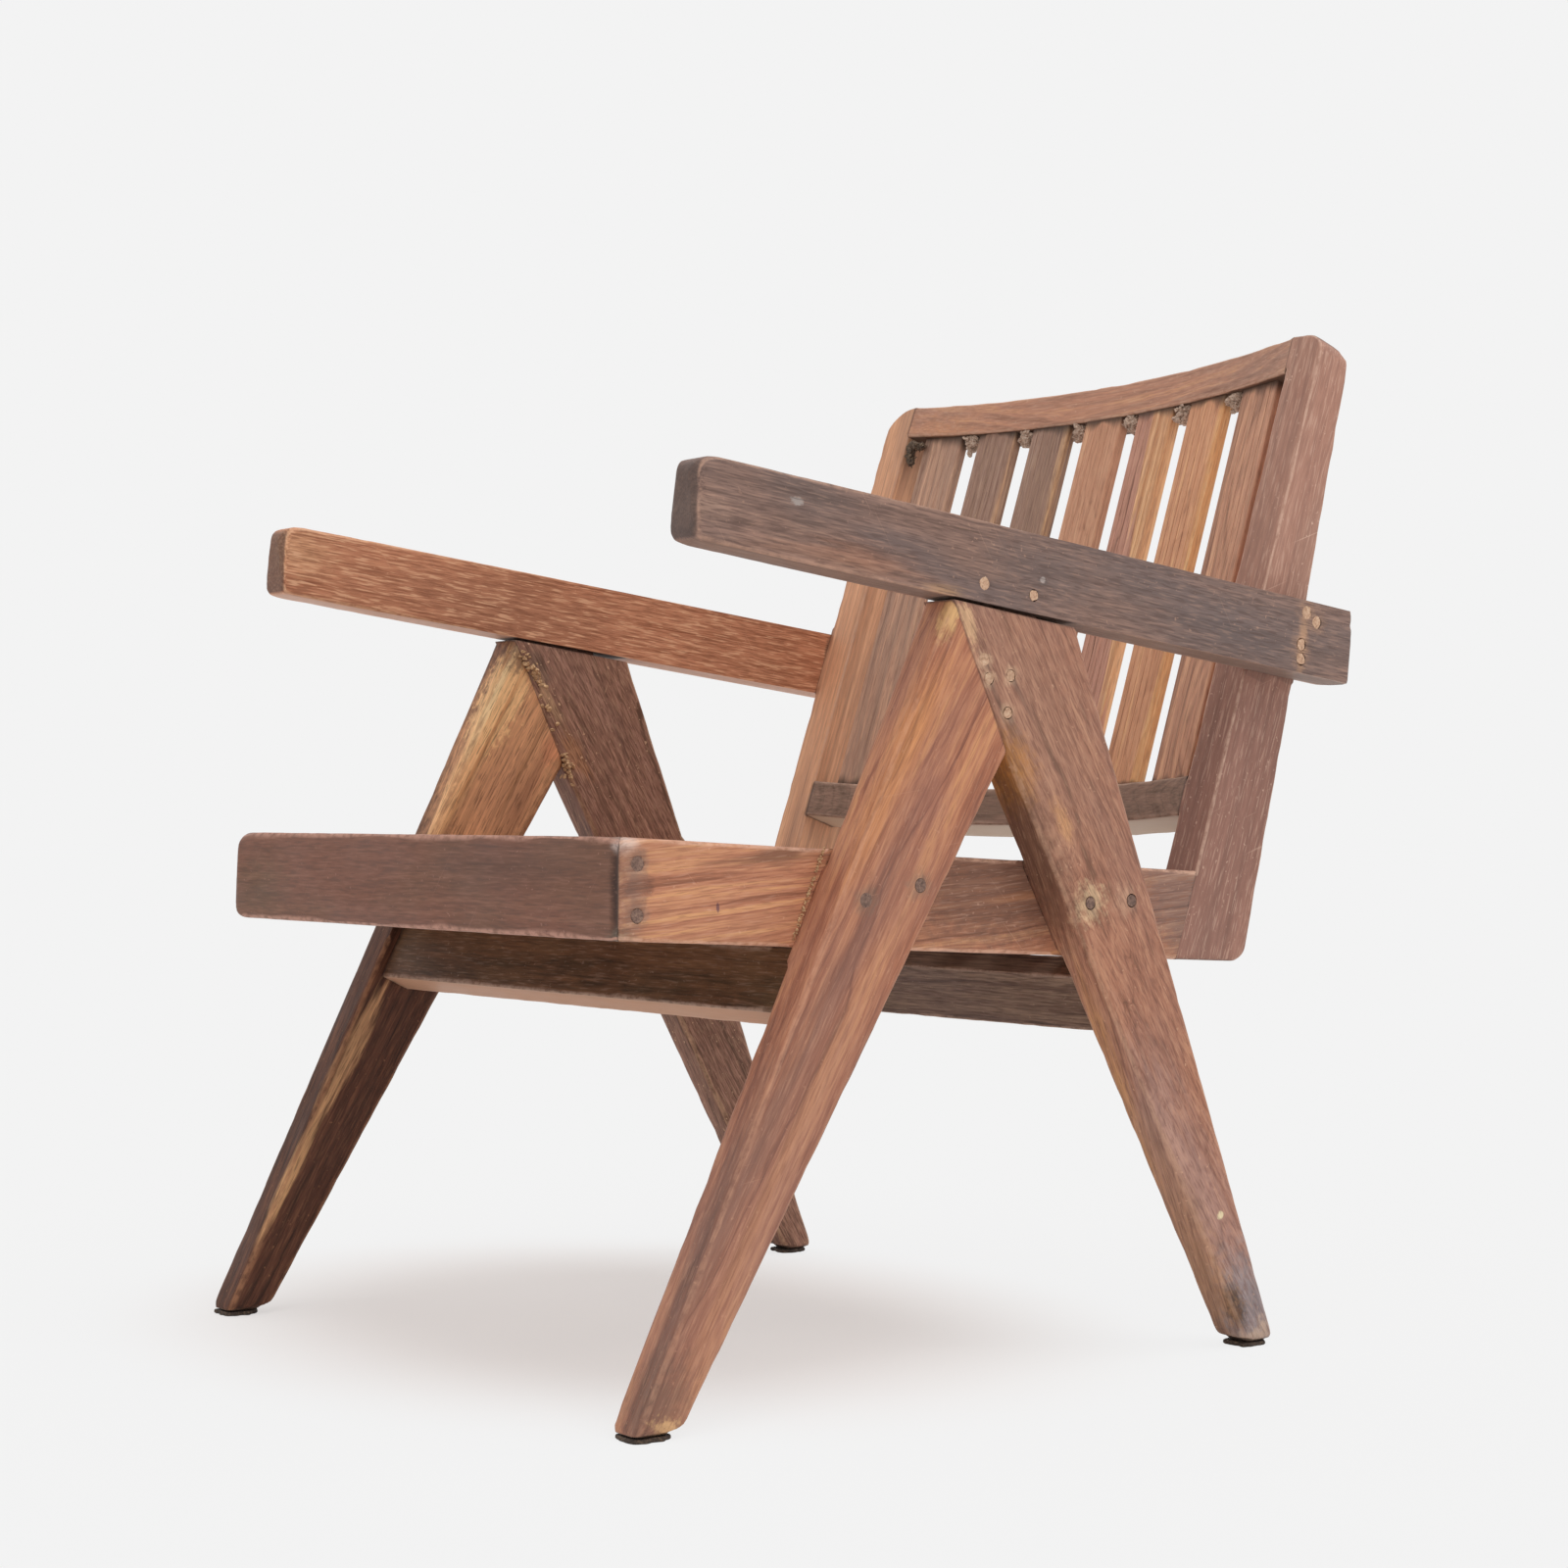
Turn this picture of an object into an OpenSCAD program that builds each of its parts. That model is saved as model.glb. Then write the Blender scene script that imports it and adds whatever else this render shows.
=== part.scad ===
// Easy chair with an open wooden frame. The sitter faces -Y, the sitter's left is +X, and the
// floor is z = 0. Side views are drawn as [y, z] with y = 0 at the front foot, and place() then
// centres them on the origin.

/* [Overall] */
// Width over the two side frames
overall_w = 560; // [500:1:620]
// Height of the back's front top edge above the floor
overall_h = 737; // [700:1:780]

/* [Legs] */
// Thickness of the arms and legs
frame_t = 30; // [26:0.5:36]
// Length over the front and rear feet, along the floor
feet_span = 556; // [530:1:590]
// Width of a front foot, along the floor
front_foot_w = 34; // [28:0.5:42]
// Width of a rear foot, along the floor
rear_foot_w = 29; // [24:0.5:36]
// Distance of the front leg's tip behind the front foot's front edge
leg_tip_y = 247.3; // [235:0.1:260]
// Distance of the fork of the legs behind the front leg's tip
fork_back = 47.4; // [42:0.1:53]
// Drop of the fork below the front leg's tip
fork_drop = 99.9; // [94:0.1:108]
// Width of the rear leg where it meets the arm, along Y
rear_leg_top_w = 110.7; // [102:0.1:120]
// Thickness of the pad under each foot
pad_t = 3; // [2:0.5:5]

/* [Arms] */
// Length of an arm
arm_len = 589; // [560:1:620]
// Distance of the arm's front end behind the front foot's front edge
arm_y = 44; // [30:1:60]
// Height of the arm's top at its front end
arm_h = 592; // [575:1:615]
// Fall of the arm's top towards the rear, in degrees
arm_fall = 5.8; // [4.5:0.1:7]
// Depth of the arm at its front end
arm_front_d = 53; // [48:0.5:60]
// Depth of the arm at its rear end
arm_rear_d = 66; // [60:0.5:72]
// Radius of the arm's upper front corner
arm_nose_r = 13; // [6:0.5:18]
// Radius of the arm's other corners
arm_corner_r = 6; // [2:0.5:10]

/* [Seat] */
// Height of the seat frame's front top edge
seat_h = 360; // [345:1:375]
// Distance of the seat frame's front face behind the front foot's front edge
seat_y = 6; // [2:1:14]
// Fall of the seat towards the rear, in degrees
seat_fall = 2.7; // [1.5:0.1:4]
// Length of the side rail's top edge, from the front face to the stile
seat_len = 498; // [480:1:515]
// Height of the seat frame's rails
rail_h = 63.5; // [54:0.5:72]
// Thickness of the seat frame's rails
rail_t = 32; // [26:0.5:36]
// Radius of the seat frame's front corners, seen from above
seat_corner_r = 9; // [4:0.5:14]
// Number of seat slats
seat_slats = 7; // [5:1:7]
// Width of a seat slat
seat_slat_w = 46; // [36:1:50]
// Thickness of a seat slat
seat_slat_t = 12; // [9:0.5:16]
// Gap between an outer seat slat and its side rail
seat_slat_gap = 15; // [6:0.5:24]
// Drop of the seat slats below the rails' top edge
seat_slat_drop = 10; // [4:0.5:18]

/* [Cross rails] */
// Thickness of a cross rail, square to the leg
cross_t = 26; // [20:0.5:32]
// Height of a cross rail, along the leg
cross_h = 45; // [36:0.5:54]
// Set-back of the front cross rail behind the front leg's front edge
front_cross_in = 9; // [5:0.5:16]
// Set-back of the rear cross rail behind the rear leg's front edge
rear_cross_in = 10; // [5:0.5:16]

/* [Back] */
// Lean of the back from upright, in degrees
back_lean = 18.6; // [17:0.1:20]
// Thickness of a stile, across the chair
stile_t = 32; // [28:0.5:36]
// Depth of a stile at the seat, square to its front edge
stile_low_d = 63.5; // [56:0.5:70]
// Depth of a stile at its top
stile_top_d = 31; // [28:0.5:38]
// Radius of a stile's upper outer corner, seen from the front
stile_side_r = 18; // [10:0.5:22]
// Radius of a stile's upper rear corner
stile_rear_r = 13; // [6:0.5:15]
// Radius of a stile's lower rear corner
stile_heel_r = 14; // [6:0.5:20]
// Height of the curved top rail
top_rail_h = 30; // [26:0.5:36]
// Height of the curved bottom rail
low_rail_h = 31; // [26:0.5:36]
// Depth of the curved rails
back_rail_d = 33; // [28:0.5:36]
// Height of the bottom rail's underside above the seat frame, along the stile
low_rail_gap = 42; // [30:0.5:60]
// Hollow of the curved rails at mid width
back_rail_sag = 25; // [18:0.5:30]
// Number of back slats
back_slats = 7; // [5:1:7]
// Width of a back slat
back_slat_w = 42; // [34:0.5:46]
// Thickness of a back slat
back_slat_t = 10; // [8:0.5:12]
// Gap between an outer back slat and its stile
back_slat_gap = 14; // [10:0.5:24]
// Hollow of the row of slats at mid width
back_slat_sag = 20; // [16:0.5:24]
// Set-back of the row of slats behind the stiles' front edge at the top rail
slat_in_top = 6.5; // [5.5:0.5:9]
// Set-back of the row of slats behind the stiles' front edge at the bottom rail
slat_in_low = 10; // [7:0.5:12]

/* [Joints] */
// Clearance round a tenon or a housed slat
fit = 0.2; // [0.1:0.05:0.4]
// Clearance round a plug, pin or screw
snug = 0.1; // [0.05:0.05:0.2]
// Thickness of every tenon
tenon_t = 10; // [8:0.5:14]
// Length of the rails' tenons
tenon_len = 12; // [8:0.5:16]
// Shoulder left above and below a rail's tenon
shoulder = 6; // [4:0.5:8]
// Depth of the housings that take the slats' ends
housing = 8; // [5:0.5:12]
// Length of the side rail's tenon in the stile
side_tenon_len = 20; // [12:0.5:26]
// Width of the front leg's tenon, along the joint with the rear leg
leg_tenon_w = 62; // [56:0.5:66]
// Length of the front leg's tenon
leg_tenon_len = 34; // [32:0.5:40]
// Distance of that tenon from the fork of the legs
leg_tenon_up = 12; // [8:0.5:18]
// Width of the rear leg's tenon in the arm
arm_tenon_w = 70; // [60:0.5:80]
// Height of the rear leg's tenon in the arm
arm_tenon_h = 28; // [24:0.5:36]
// Distance of that tenon behind the tip of the front leg
arm_tenon_in = 12; // [6:0.5:20]

/* [Fastenings] */
// Diameter of the wooden pins
pin_d = 8; // [6:0.5:9]
// Length of the wooden pins
pin_len = 25; // [22:0.5:25.5]
// Diameter of the plugs over the screws
plug_d = 9; // [8:0.5:11]
// Thickness of the plugs
plug_t = 5; // [3:0.5:7]
// Diameter of a screw's shank
screw_d = 4.5; // [3.5:0.1:5]
// Diameter of a screw's head
screw_head_d = 8; // [7:0.1:8]
// Height of a screw's countersunk head
screw_head_h = 2.5; // [2:0.1:3]
// Length of a screw
screw_len = 44; // [38:0.5:48]
// Distance of the two pins in the arm from each other
arm_pin_gap = 44; // [36:0.5:50]
// Height of the arm's pins above its underside
arm_pin_up = 15; // [10:0.5:18]
// Distance of the screws through a leg from the leg's edges, along Y
leg_screw_in = 21; // [16:0.5:28]
// Distance of the seat corner's screws from the front face
corner_screw_in = 15; // [10:0.5:18]
// Distance of the seat corner's screws from the rail's top and underside
corner_screw_up = 16; // [12:0.5:20]

/* [Hidden] */
$fn = 96;
rail_fn = 720;
arc_steps = 8;
past = 1;

// Pins through the front leg's tenon, as shares of [its width from the upper end, its length]
JOINT_PINS = [[0.145, 0.235], [0.355, 0.19], [0.45, 0.735], [0.79, 0.355]];
// Screws from the arm into the stile, as [along the stile, square to it] from the middle of the crossing
ARM_SCREWS = [[17, -7], [14, 5], [-7, -5], [-17, -2]];
// Height of each screw through the legs above the middle of the side rail, from front to rear
LEG_SCREW_RISE = [0, 11, 5, 8];

side_x = overall_w / 2;
seat_x = side_x - frame_t;
rail_x = seat_x - rail_t;
stile_x = seat_x - stile_t;

// An upright edge is [y at the floor, y per mm of height], a level edge is [z at y = 0, z per mm of y]
function at(edge, t) = edge[0] + edge[1] * t;
function on_upright(edge, z) = [at(edge, z), z];
function on_level(edge, y) = [y, at(edge, y)];
function meet(upright, level) =
    on_level(level, (upright[0] + upright[1] * level[0]) / (1 - upright[1] * level[1]));
function shifted(edge, by) = [edge[0] + by, edge[1]];
function through(p, q) =
    let (run = (q[0] - p[0]) / (q[1] - p[1])) [p[0] - run * p[1], run];
function along(angle, d) = d * [sin(angle), cos(angle)];
function square_to(angle, d) = d * [cos(angle), -sin(angle)];
function bearing(v) = atan2(v[1], v[0]);
function turned(angle, v) =
    [cos(angle) * v[0] - sin(angle) * v[1], sin(angle) * v[0] + cos(angle) * v[1]];
function mid(p, q) = (p + q) / 2;
// Place across the chair of slat i in a row that leaves a gap to the rails or stiles at half_span
function row_x(i, count, w, half_span, gap) =
    (i - (count + 1) / 2) * 2 * (half_span - gap - w / 2) / (count - 1);

// Outline from corners [point, radius]: a rounded corner becomes an arc
function unit(v) = v / norm(v);
function wrapped(angle) = angle > 180 ? angle - 360 : angle < -180 ? angle + 360 : angle;
function arc(centre, r, from, sweep) =
    [for (i = [0:arc_steps]) let (a = from + sweep * i / arc_steps) centre + r * [cos(a), sin(a)]];
function corner(before, here, after, r) =
    let (u = unit(before - here), v = unit(after - here), half = acos(u * v) / 2,
         centre = here + unit(u + v) * r / sin(half),
         start = bearing(here + u * r / tan(half) - centre),
         end = bearing(here + v * r / tan(half) - centre))
    arc(centre, r, start, wrapped(end - start));
function outline(corners) =
    let (n = len(corners))
    [for (i = [0:n - 1])
        let (here = corners[i], before = corners[(i + n - 1) % n], after = corners[(i + 1) % n])
        for (p = here[1] == 0 ? [here[0]] : corner(before[0], here[0], after[0], here[1])) p];

// Legs and arms
arm_end_y = arm_y + arm_len;
arm_top = [arm_h + arm_y * tan(arm_fall), -tan(arm_fall)];
arm_front_low = [arm_y, arm_h - arm_front_d];
arm_rear_low = [arm_end_y, at(arm_top, arm_end_y) - arm_rear_d];
arm_under_run = (arm_rear_low[1] - arm_front_low[1]) / arm_len;
arm_under = [arm_front_low[1] - arm_under_run * arm_y, arm_under_run];
leg_tip = on_level(arm_under, leg_tip_y);
rear_tip = on_level(arm_under, leg_tip_y + rear_leg_top_w);
fork = leg_tip + [fork_back, -fork_drop];
front_leg_front = through([0, 0], leg_tip);
front_leg_rear = through([front_foot_w, 0], fork);
rear_leg_front = through([feet_span - rear_foot_w, 0], fork);
rear_leg_rear = through([feet_span, 0], rear_tip);
front_leg_lean = atan(front_leg_front[1]);
rear_leg_turn = -atan(rear_leg_front[1]);
joint_angle = bearing(fork - leg_tip);
joint_len = norm(fork - leg_tip);
under_angle = atan(arm_under_run);

// Seat frame
seat_top = [seat_h + seat_y * tan(seat_fall), -tan(seat_fall)];
seat_under = [seat_top[0] - rail_h, seat_top[1]];
seat_mid = [seat_top[0] - rail_h / 2, seat_top[1]];
seat_foot = on_level(seat_top, seat_y + seat_len);

// Back: local axes are x, then y square to the stile's front edge, then z along it
stile_front = through(seat_foot, seat_foot + along(back_lean, 1));
back_y = stile_front[0];
back_top = overall_h / cos(back_lean);
stile_front_top = [back_y, 0] + along(back_lean, back_top);
stile_rear = through(seat_foot + square_to(back_lean, stile_low_d),
                     stile_front_top + square_to(back_lean, stile_top_d));
stile_foot = meet(stile_front, seat_under);
stile_heel = meet(stile_rear, seat_under);
top_rail_z = back_top - top_rail_h;
low_rail_z = norm(seat_foot - [back_y, 0]) + low_rail_gap;
slat_z = low_rail_z + low_rail_h;
slat_len = top_rail_z - slat_z;
slat_tilt = atan((slat_in_low - slat_in_top) / slat_len);
back_rail_r = (pow(stile_x, 2) + pow(back_rail_sag, 2)) / (2 * back_rail_sag);
slat_row_r = (pow(stile_x, 2) + pow(back_slat_sag, 2)) / (2 * back_slat_sag);
rear_rail_y = stile_foot[0] - rail_t;
seat_inner_y = seat_y + rail_t;

// Cross rails: the front one's front edge and the rear one's rear edge touch the seat frame
front_cross = meet(shifted(front_leg_front, front_cross_in), seat_under);
rear_cross = meet(shifted(rear_leg_front, rear_cross_in + cross_t / cos(rear_leg_turn)), seat_under);

// Fastenings, in the side view
arm_mid = mid(arm_top, arm_under);
arm_crossing = mid(meet(stile_front, arm_mid), meet(stile_rear, arm_mid));
arm_screw_at = [for (s = ARM_SCREWS) arm_crossing + along(back_lean, s[0]) + square_to(back_lean, s[1])];
arm_pin_at = [for (s = [-1, 1])
    leg_tip + turned(under_angle, [arm_tenon_in + arm_tenon_w / 2 + s * arm_pin_gap / 2, arm_pin_up])];
leg_tenon_at = joint_len - leg_tenon_up - leg_tenon_w;
joint_pin_at = [for (p = JOINT_PINS)
    leg_tip + turned(joint_angle, [leg_tenon_at + p[0] * leg_tenon_w, p[1] * leg_tenon_len])];
leg_screw_edges = [shifted(front_leg_front, leg_screw_in), shifted(front_leg_rear, -leg_screw_in),
                   shifted(rear_leg_front, leg_screw_in), shifted(rear_leg_rear, -leg_screw_in)];
leg_screw_at = [for (i = [0:3]) meet(leg_screw_edges[i], shifted(seat_mid, LEG_SCREW_RISE[i]))];
corner_y = seat_y + corner_screw_in;
corner_screw_at = [[corner_y, at(seat_top, corner_y) - corner_screw_up],
                   [corner_y, at(seat_under, corner_y) + corner_screw_up]];

// The origin is under the middle of the chair
front_y = min(at(front_leg_front, pad_t), seat_y);
rear_y = back_y + back_top * sin(back_lean) + (back_rail_sag + back_rail_d) * cos(back_lean);

module place() { translate([0, -(front_y + rear_y) / 2, 0]) children(); }

// A side view, extruded across the chair from x on
module plate(x, t) { translate([x, 0, 0]) rotate([90, 0, 90]) linear_extrude(t) children(); }

// The back's own axes
module back_axes() { translate([0, back_y, 0]) rotate([-back_lean, 0, 0]) children(); }

// Along -X from the outer face at x, at the side view's point p
module inward(x, p) { translate([x, p[0], p[1]]) rotate([0, -90, 0]) children(); }

module screw(grow = 0) {
    rotate_extrude()
        polygon([[0, 0], [screw_head_d / 2 + grow, 0], [screw_d / 2 + grow, screw_head_h],
                 [screw_d / 2 + grow, screw_len + grow], [0, screw_len + grow]]);
}

module screws(x, places) {
    color("dimgray") for (p = places) inward(x, p) translate([0, 0, plug_t]) screw();
}

module plugs(x, places) {
    color("#c2a58a") for (p = places) inward(x, p) cylinder(d = plug_d, h = plug_t);
}

module pins(places) {
    color("#b99a80") for (p = places) inward(side_x, p) cylinder(d = pin_d, h = pin_len);
}

module screw_holes(x, places) {
    for (p = places) inward(x, p) {
        translate([0, 0, -past]) cylinder(d = plug_d + 2 * snug, h = plug_t + past);
        translate([0, 0, plug_t]) screw(snug);
    }
}

module pin_holes(places) {
    for (p = places) inward(side_x, p)
        translate([0, 0, -past]) cylinder(d = pin_d + 2 * snug, h = pin_len + past);
}

module arm_holes() {
    screw_holes(side_x, arm_screw_at);
    pin_holes(arm_pin_at);
}

module seat_holes() {
    screw_holes(side_x, leg_screw_at);
    screw_holes(seat_x, corner_screw_at);
}

// Tenons, each drawn with the clearance of its mortise as grow
module middle_plate(x, t, grow) { plate(x + (t - tenon_t) / 2 - grow, tenon_t + 2 * grow) children(); }

module leg_tenon(grow = 0) {
    middle_plate(seat_x, frame_t, grow)
        translate(leg_tip) rotate(joint_angle)
            translate([leg_tenon_at - grow, -past])
                square([leg_tenon_w + 2 * grow, leg_tenon_len + past + grow]);
}

module arm_tenon(grow = 0) {
    middle_plate(seat_x, frame_t, grow)
        translate(leg_tip) rotate(under_angle)
            translate([arm_tenon_in - grow, -past])
                square([arm_tenon_w + 2 * grow, arm_tenon_h + past + grow]);
}

module side_tenon(grow = 0) {
    high = rail_h - 2 * shoulder;
    middle_plate(stile_x, stile_t, grow)
        translate(meet(stile_front, seat_mid)) rotate(-back_lean)
            translate([-past, -high / 2 - grow])
                square([side_tenon_len + past + grow, high + 2 * grow]);
}

// A cross rail's section, and its tenons at both ends
module cross_section(grow) {
    translate([shoulder - grow, -cross_h + shoulder - grow])
        square([cross_t - 2 * shoulder + 2 * grow, cross_h - 2 * shoulder + 2 * grow]);
}

module at_front_cross() { translate(front_cross) rotate(-front_leg_lean) children(); }

module at_rear_cross() { translate(rear_cross) rotate(rear_leg_turn) translate([-cross_t, 0]) children(); }

module front_cross_tenons(grow = 0) {
    reach = seat_x + tenon_len + grow;
    plate(-reach, 2 * reach) at_front_cross() cross_section(grow);
}

module rear_cross_tenons(grow = 0) {
    reach = seat_x + tenon_len + grow;
    plate(-reach, 2 * reach) at_rear_cross() cross_section(grow);
}

// Pieces of the side frames, drawn for the sitter's left
module arm() {
    color("#8b6b5b") place() difference() {
        plate(seat_x, frame_t)
            polygon(outline([[arm_front_low, arm_corner_r], [arm_rear_low, arm_corner_r],
                             [on_level(arm_top, arm_end_y), arm_corner_r],
                             [[arm_y, arm_h], arm_nose_r]]));
        arm_tenon(fit);
        arm_holes();
    }
}

module front_leg() {
    color("#a8755c") place() difference() {
        union() {
            plate(seat_x, frame_t)
                polygon([on_upright(front_leg_front, pad_t), on_upright(front_leg_rear, pad_t),
                         fork, leg_tip]);
            leg_tenon();
        }
        front_cross_tenons(fit);
        pin_holes(joint_pin_at);
        seat_holes();
    }
}

module rear_leg() {
    color("#9c7260") place() difference() {
        union() {
            plate(seat_x, frame_t)
                polygon([on_upright(rear_leg_front, pad_t), on_upright(rear_leg_rear, pad_t), rear_tip,
                         leg_tip, fork]);
            arm_tenon();
        }
        leg_tenon(fit);
        rear_cross_tenons(fit);
        pin_holes(joint_pin_at);
        arm_holes();
        seat_holes();
    }
}

module foot_pad(front_edge, rear_edge) {
    front = at(front_edge, pad_t);
    color("#3a2c26") place() translate([seat_x, front, 0])
        cube([frame_t, at(rear_edge, pad_t) - front, pad_t]);
}

module left_arm() { arm(); }
module right_arm() { mirror([1, 0, 0]) arm(); }
module left_front_leg() { front_leg(); }
module right_front_leg() { mirror([1, 0, 0]) front_leg(); }
module left_rear_leg() { rear_leg(); }
module right_rear_leg() { mirror([1, 0, 0]) rear_leg(); }
module left_front_foot_pad() { foot_pad(front_leg_front, front_leg_rear); }
module right_front_foot_pad() { mirror([1, 0, 0]) foot_pad(front_leg_front, front_leg_rear); }
module left_rear_foot_pad() { foot_pad(rear_leg_front, rear_leg_rear); }
module right_rear_foot_pad() { mirror([1, 0, 0]) foot_pad(rear_leg_front, rear_leg_rear); }

// Cross rails
module front_cross_rail() {
    color("#5d4237") place() {
        plate(-seat_x, 2 * seat_x) at_front_cross() translate([0, -cross_h]) square([cross_t, cross_h]);
        front_cross_tenons();
    }
}

module rear_cross_rail() {
    color("#6c5045") place() {
        plate(-seat_x, 2 * seat_x) at_rear_cross() translate([0, -cross_h]) square([cross_t, cross_h]);
        rear_cross_tenons();
    }
}

// Seat frame: the outline seen from above, cut to the rails' sloping top and underside
module rail_slab(x, t, y0, y1) {
    plate(x, t) polygon([on_level(seat_under, y0), on_level(seat_under, y1),
                         on_level(seat_top, y1), on_level(seat_top, y0)]);
}

function mitre_arc(from) = arc([seat_x - seat_corner_r, seat_y + seat_corner_r], seat_corner_r, from, 45);

module from_above() { linear_extrude(seat_h + rail_h) children(); }

module rear_rail_tenons(grow = 0) {
    reach = rail_x + tenon_len + grow;
    thick = rail_t - 2 * shoulder;
    high = rail_h - 2 * shoulder;
    middle = at(seat_mid, rear_rail_y + rail_t / 2);
    translate([-reach, rear_rail_y + shoulder - grow, middle - high / 2 - grow])
        cube([2 * reach, thick + 2 * grow, high + 2 * grow]);
}

module seat_front_rail() {
    right_arc = mitre_arc(-90);
    left_arc = [for (i = [arc_steps:-1:0]) [-right_arc[i][0], right_arc[i][1]]];
    color("#7d5a50") place() difference() {
        intersection() {
            rail_slab(-side_x, overall_w, 0, seat_len);
            from_above() polygon(concat(left_arc, right_arc,
                                        [[rail_x, seat_inner_y], [-rail_x, seat_inner_y]]));
        }
        seat_holes();
        mirror([1, 0, 0]) seat_holes();
        for (i = [1:seat_slats]) seat_slat_body(i, fit);
    }
}

module side_rail() {
    color("#a9734f") place() difference() {
        union() {
            intersection() {
                plate(0, side_x)
                    polygon([on_level(seat_under, 0), stile_foot, seat_foot, on_level(seat_top, 0)]);
                from_above() polygon(concat(mitre_arc(-45), [[seat_x, rear_y], [rail_x, rear_y],
                                                             [rail_x, seat_inner_y]]));
            }
            side_tenon();
        }
        seat_holes();
        rear_rail_tenons(fit);
    }
}

module seat_left_rail() { side_rail(); }
module seat_right_rail() { mirror([1, 0, 0]) side_rail(); }

module seat_rear_rail() {
    color("#6f5548") place() difference() {
        union() {
            rail_slab(-rail_x, 2 * rail_x, rear_rail_y, rear_rail_y + rail_t);
            rear_rail_tenons();
        }
        for (i = [1:seat_slats]) seat_slat_body(i, fit);
    }
}

module seat_slat_body(i, grow = 0) {
    deck = [seat_top[0] - seat_slat_drop, seat_top[1]];
    below = [deck[0] - seat_slat_t, deck[1]];
    front = seat_inner_y - housing - grow;
    rear = rear_rail_y + housing + grow;
    x = row_x(i, seat_slats, seat_slat_w, rail_x, seat_slat_gap);
    plate(x - seat_slat_w / 2 - grow, seat_slat_w + 2 * grow)
        polygon([on_level(below, front) - [0, grow], on_level(below, rear) - [0, grow],
                 on_level(deck, rear) + [0, grow], on_level(deck, front) + [0, grow]]);
}

module seat_slat(i) { color("#8d6a58") place() seat_slat_body(i); }

// Back
module stile() {
    low = back_top - norm(stile_front_top - stile_foot) - stile_low_d;
    deep = 3 * stile_low_d;
    color("#8f6c60") place() difference() {
        intersection() {
            plate(stile_x, stile_t)
                polygon(outline([[stile_foot, 0], [stile_heel, stile_heel_r],
                                 [stile_front_top + square_to(back_lean, stile_top_d), stile_rear_r],
                                 [stile_front_top, 0]]));
            back_axes() translate([0, deep, 0]) rotate([90, 0, 0]) linear_extrude(2 * deep)
                polygon(outline([[[stile_x, low], 0], [[seat_x, low], 0],
                                 [[seat_x, back_top], stile_side_r], [[stile_x, back_top], 0]]));
        }
        side_tenon(fit);
        arm_holes();
        back_axes() {
            back_rail_tenons(top_rail_z, top_rail_h, fit);
            back_rail_tenons(low_rail_z, low_rail_h, fit);
        }
    }
}

module left_stile() { stile(); }
module right_stile() { mirror([1, 0, 0]) stile(); }

module back_rail_tenons(z, h, grow = 0) {
    reach = stile_x + tenon_len + grow;
    translate([-reach, shoulder - grow, z + shoulder - grow])
        cube([2 * reach, tenon_t + 2 * grow, h - 2 * shoulder + 2 * grow]);
}

// A band of the circle through both stiles' front edges and the hollow at mid width
module curved_rail(z, h, rear_r) {
    translate([0, 0, z]) intersection() {
        translate([0, back_rail_sag - back_rail_r, 0]) rotate_extrude($fn = rail_fn)
            polygon(outline([[[back_rail_r, 0], 0], [[back_rail_r + back_rail_d, 0], 0],
                             [[back_rail_r + back_rail_d, h], rear_r], [[back_rail_r, h], 0]]));
        translate([-stile_x, -past, 0]) cube([2 * stile_x, back_rail_sag + back_rail_d + 2 * past, h]);
    }
    intersection() {
        back_rail_tenons(z, h);
        for (s = [-1, 1])
            translate([s * (stile_x + tenon_len / 2) - (tenon_len + past) / 2, -past, z])
                cube([tenon_len + past, back_rail_d + 2 * past, h]);
    }
}

module back_top_rail() {
    color("#a5735c") place() difference() {
        back_axes() curved_rail(top_rail_z, top_rail_h, stile_rear_r);
        for (i = [1:back_slats]) back_slat_body(i, fit);
    }
}

module back_bottom_rail() {
    color("#5f463c") place() difference() {
        back_axes() curved_rail(low_rail_z, low_rail_h, 0);
        for (i = [1:back_slats]) back_slat_body(i, fit);
    }
}

module back_slat_body(i, grow = 0) {
    x = row_x(i, back_slats, back_slat_w, stile_x, back_slat_gap);
    y = slat_in_low + back_slat_sag - slat_row_r + sqrt(pow(slat_row_r, 2) - pow(x, 2));
    back_axes() translate([x, y, slat_z]) rotate([slat_tilt, 0, 0]) rotate([0, 0, -asin(x / slat_row_r)])
        translate([-back_slat_w / 2 - grow, -grow, -housing - grow])
            cube([back_slat_w + 2 * grow, back_slat_t + 2 * grow, slat_len + 2 * housing + 2 * grow]);
}

module back_slat(i) { color("#8a6a5a") place() back_slat_body(i); }

// Screws, plugs and pins
module left_arm_screws() { place() screws(side_x, arm_screw_at); }
module right_arm_screws() { mirror([1, 0, 0]) left_arm_screws(); }
module left_leg_screws() { place() screws(side_x, leg_screw_at); }
module right_leg_screws() { mirror([1, 0, 0]) left_leg_screws(); }
module left_corner_screws() { place() screws(seat_x, corner_screw_at); }
module right_corner_screws() { mirror([1, 0, 0]) left_corner_screws(); }
module left_arm_plugs() { place() plugs(side_x, arm_screw_at); }
module right_arm_plugs() { mirror([1, 0, 0]) left_arm_plugs(); }
module left_leg_plugs() { place() plugs(side_x, leg_screw_at); }
module right_leg_plugs() { mirror([1, 0, 0]) left_leg_plugs(); }
module left_corner_plugs() { place() plugs(seat_x, corner_screw_at); }
module right_corner_plugs() { mirror([1, 0, 0]) left_corner_plugs(); }
module left_joint_pins() { place() pins(concat(joint_pin_at, arm_pin_at)); }
module right_joint_pins() { mirror([1, 0, 0]) left_joint_pins(); }

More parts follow.
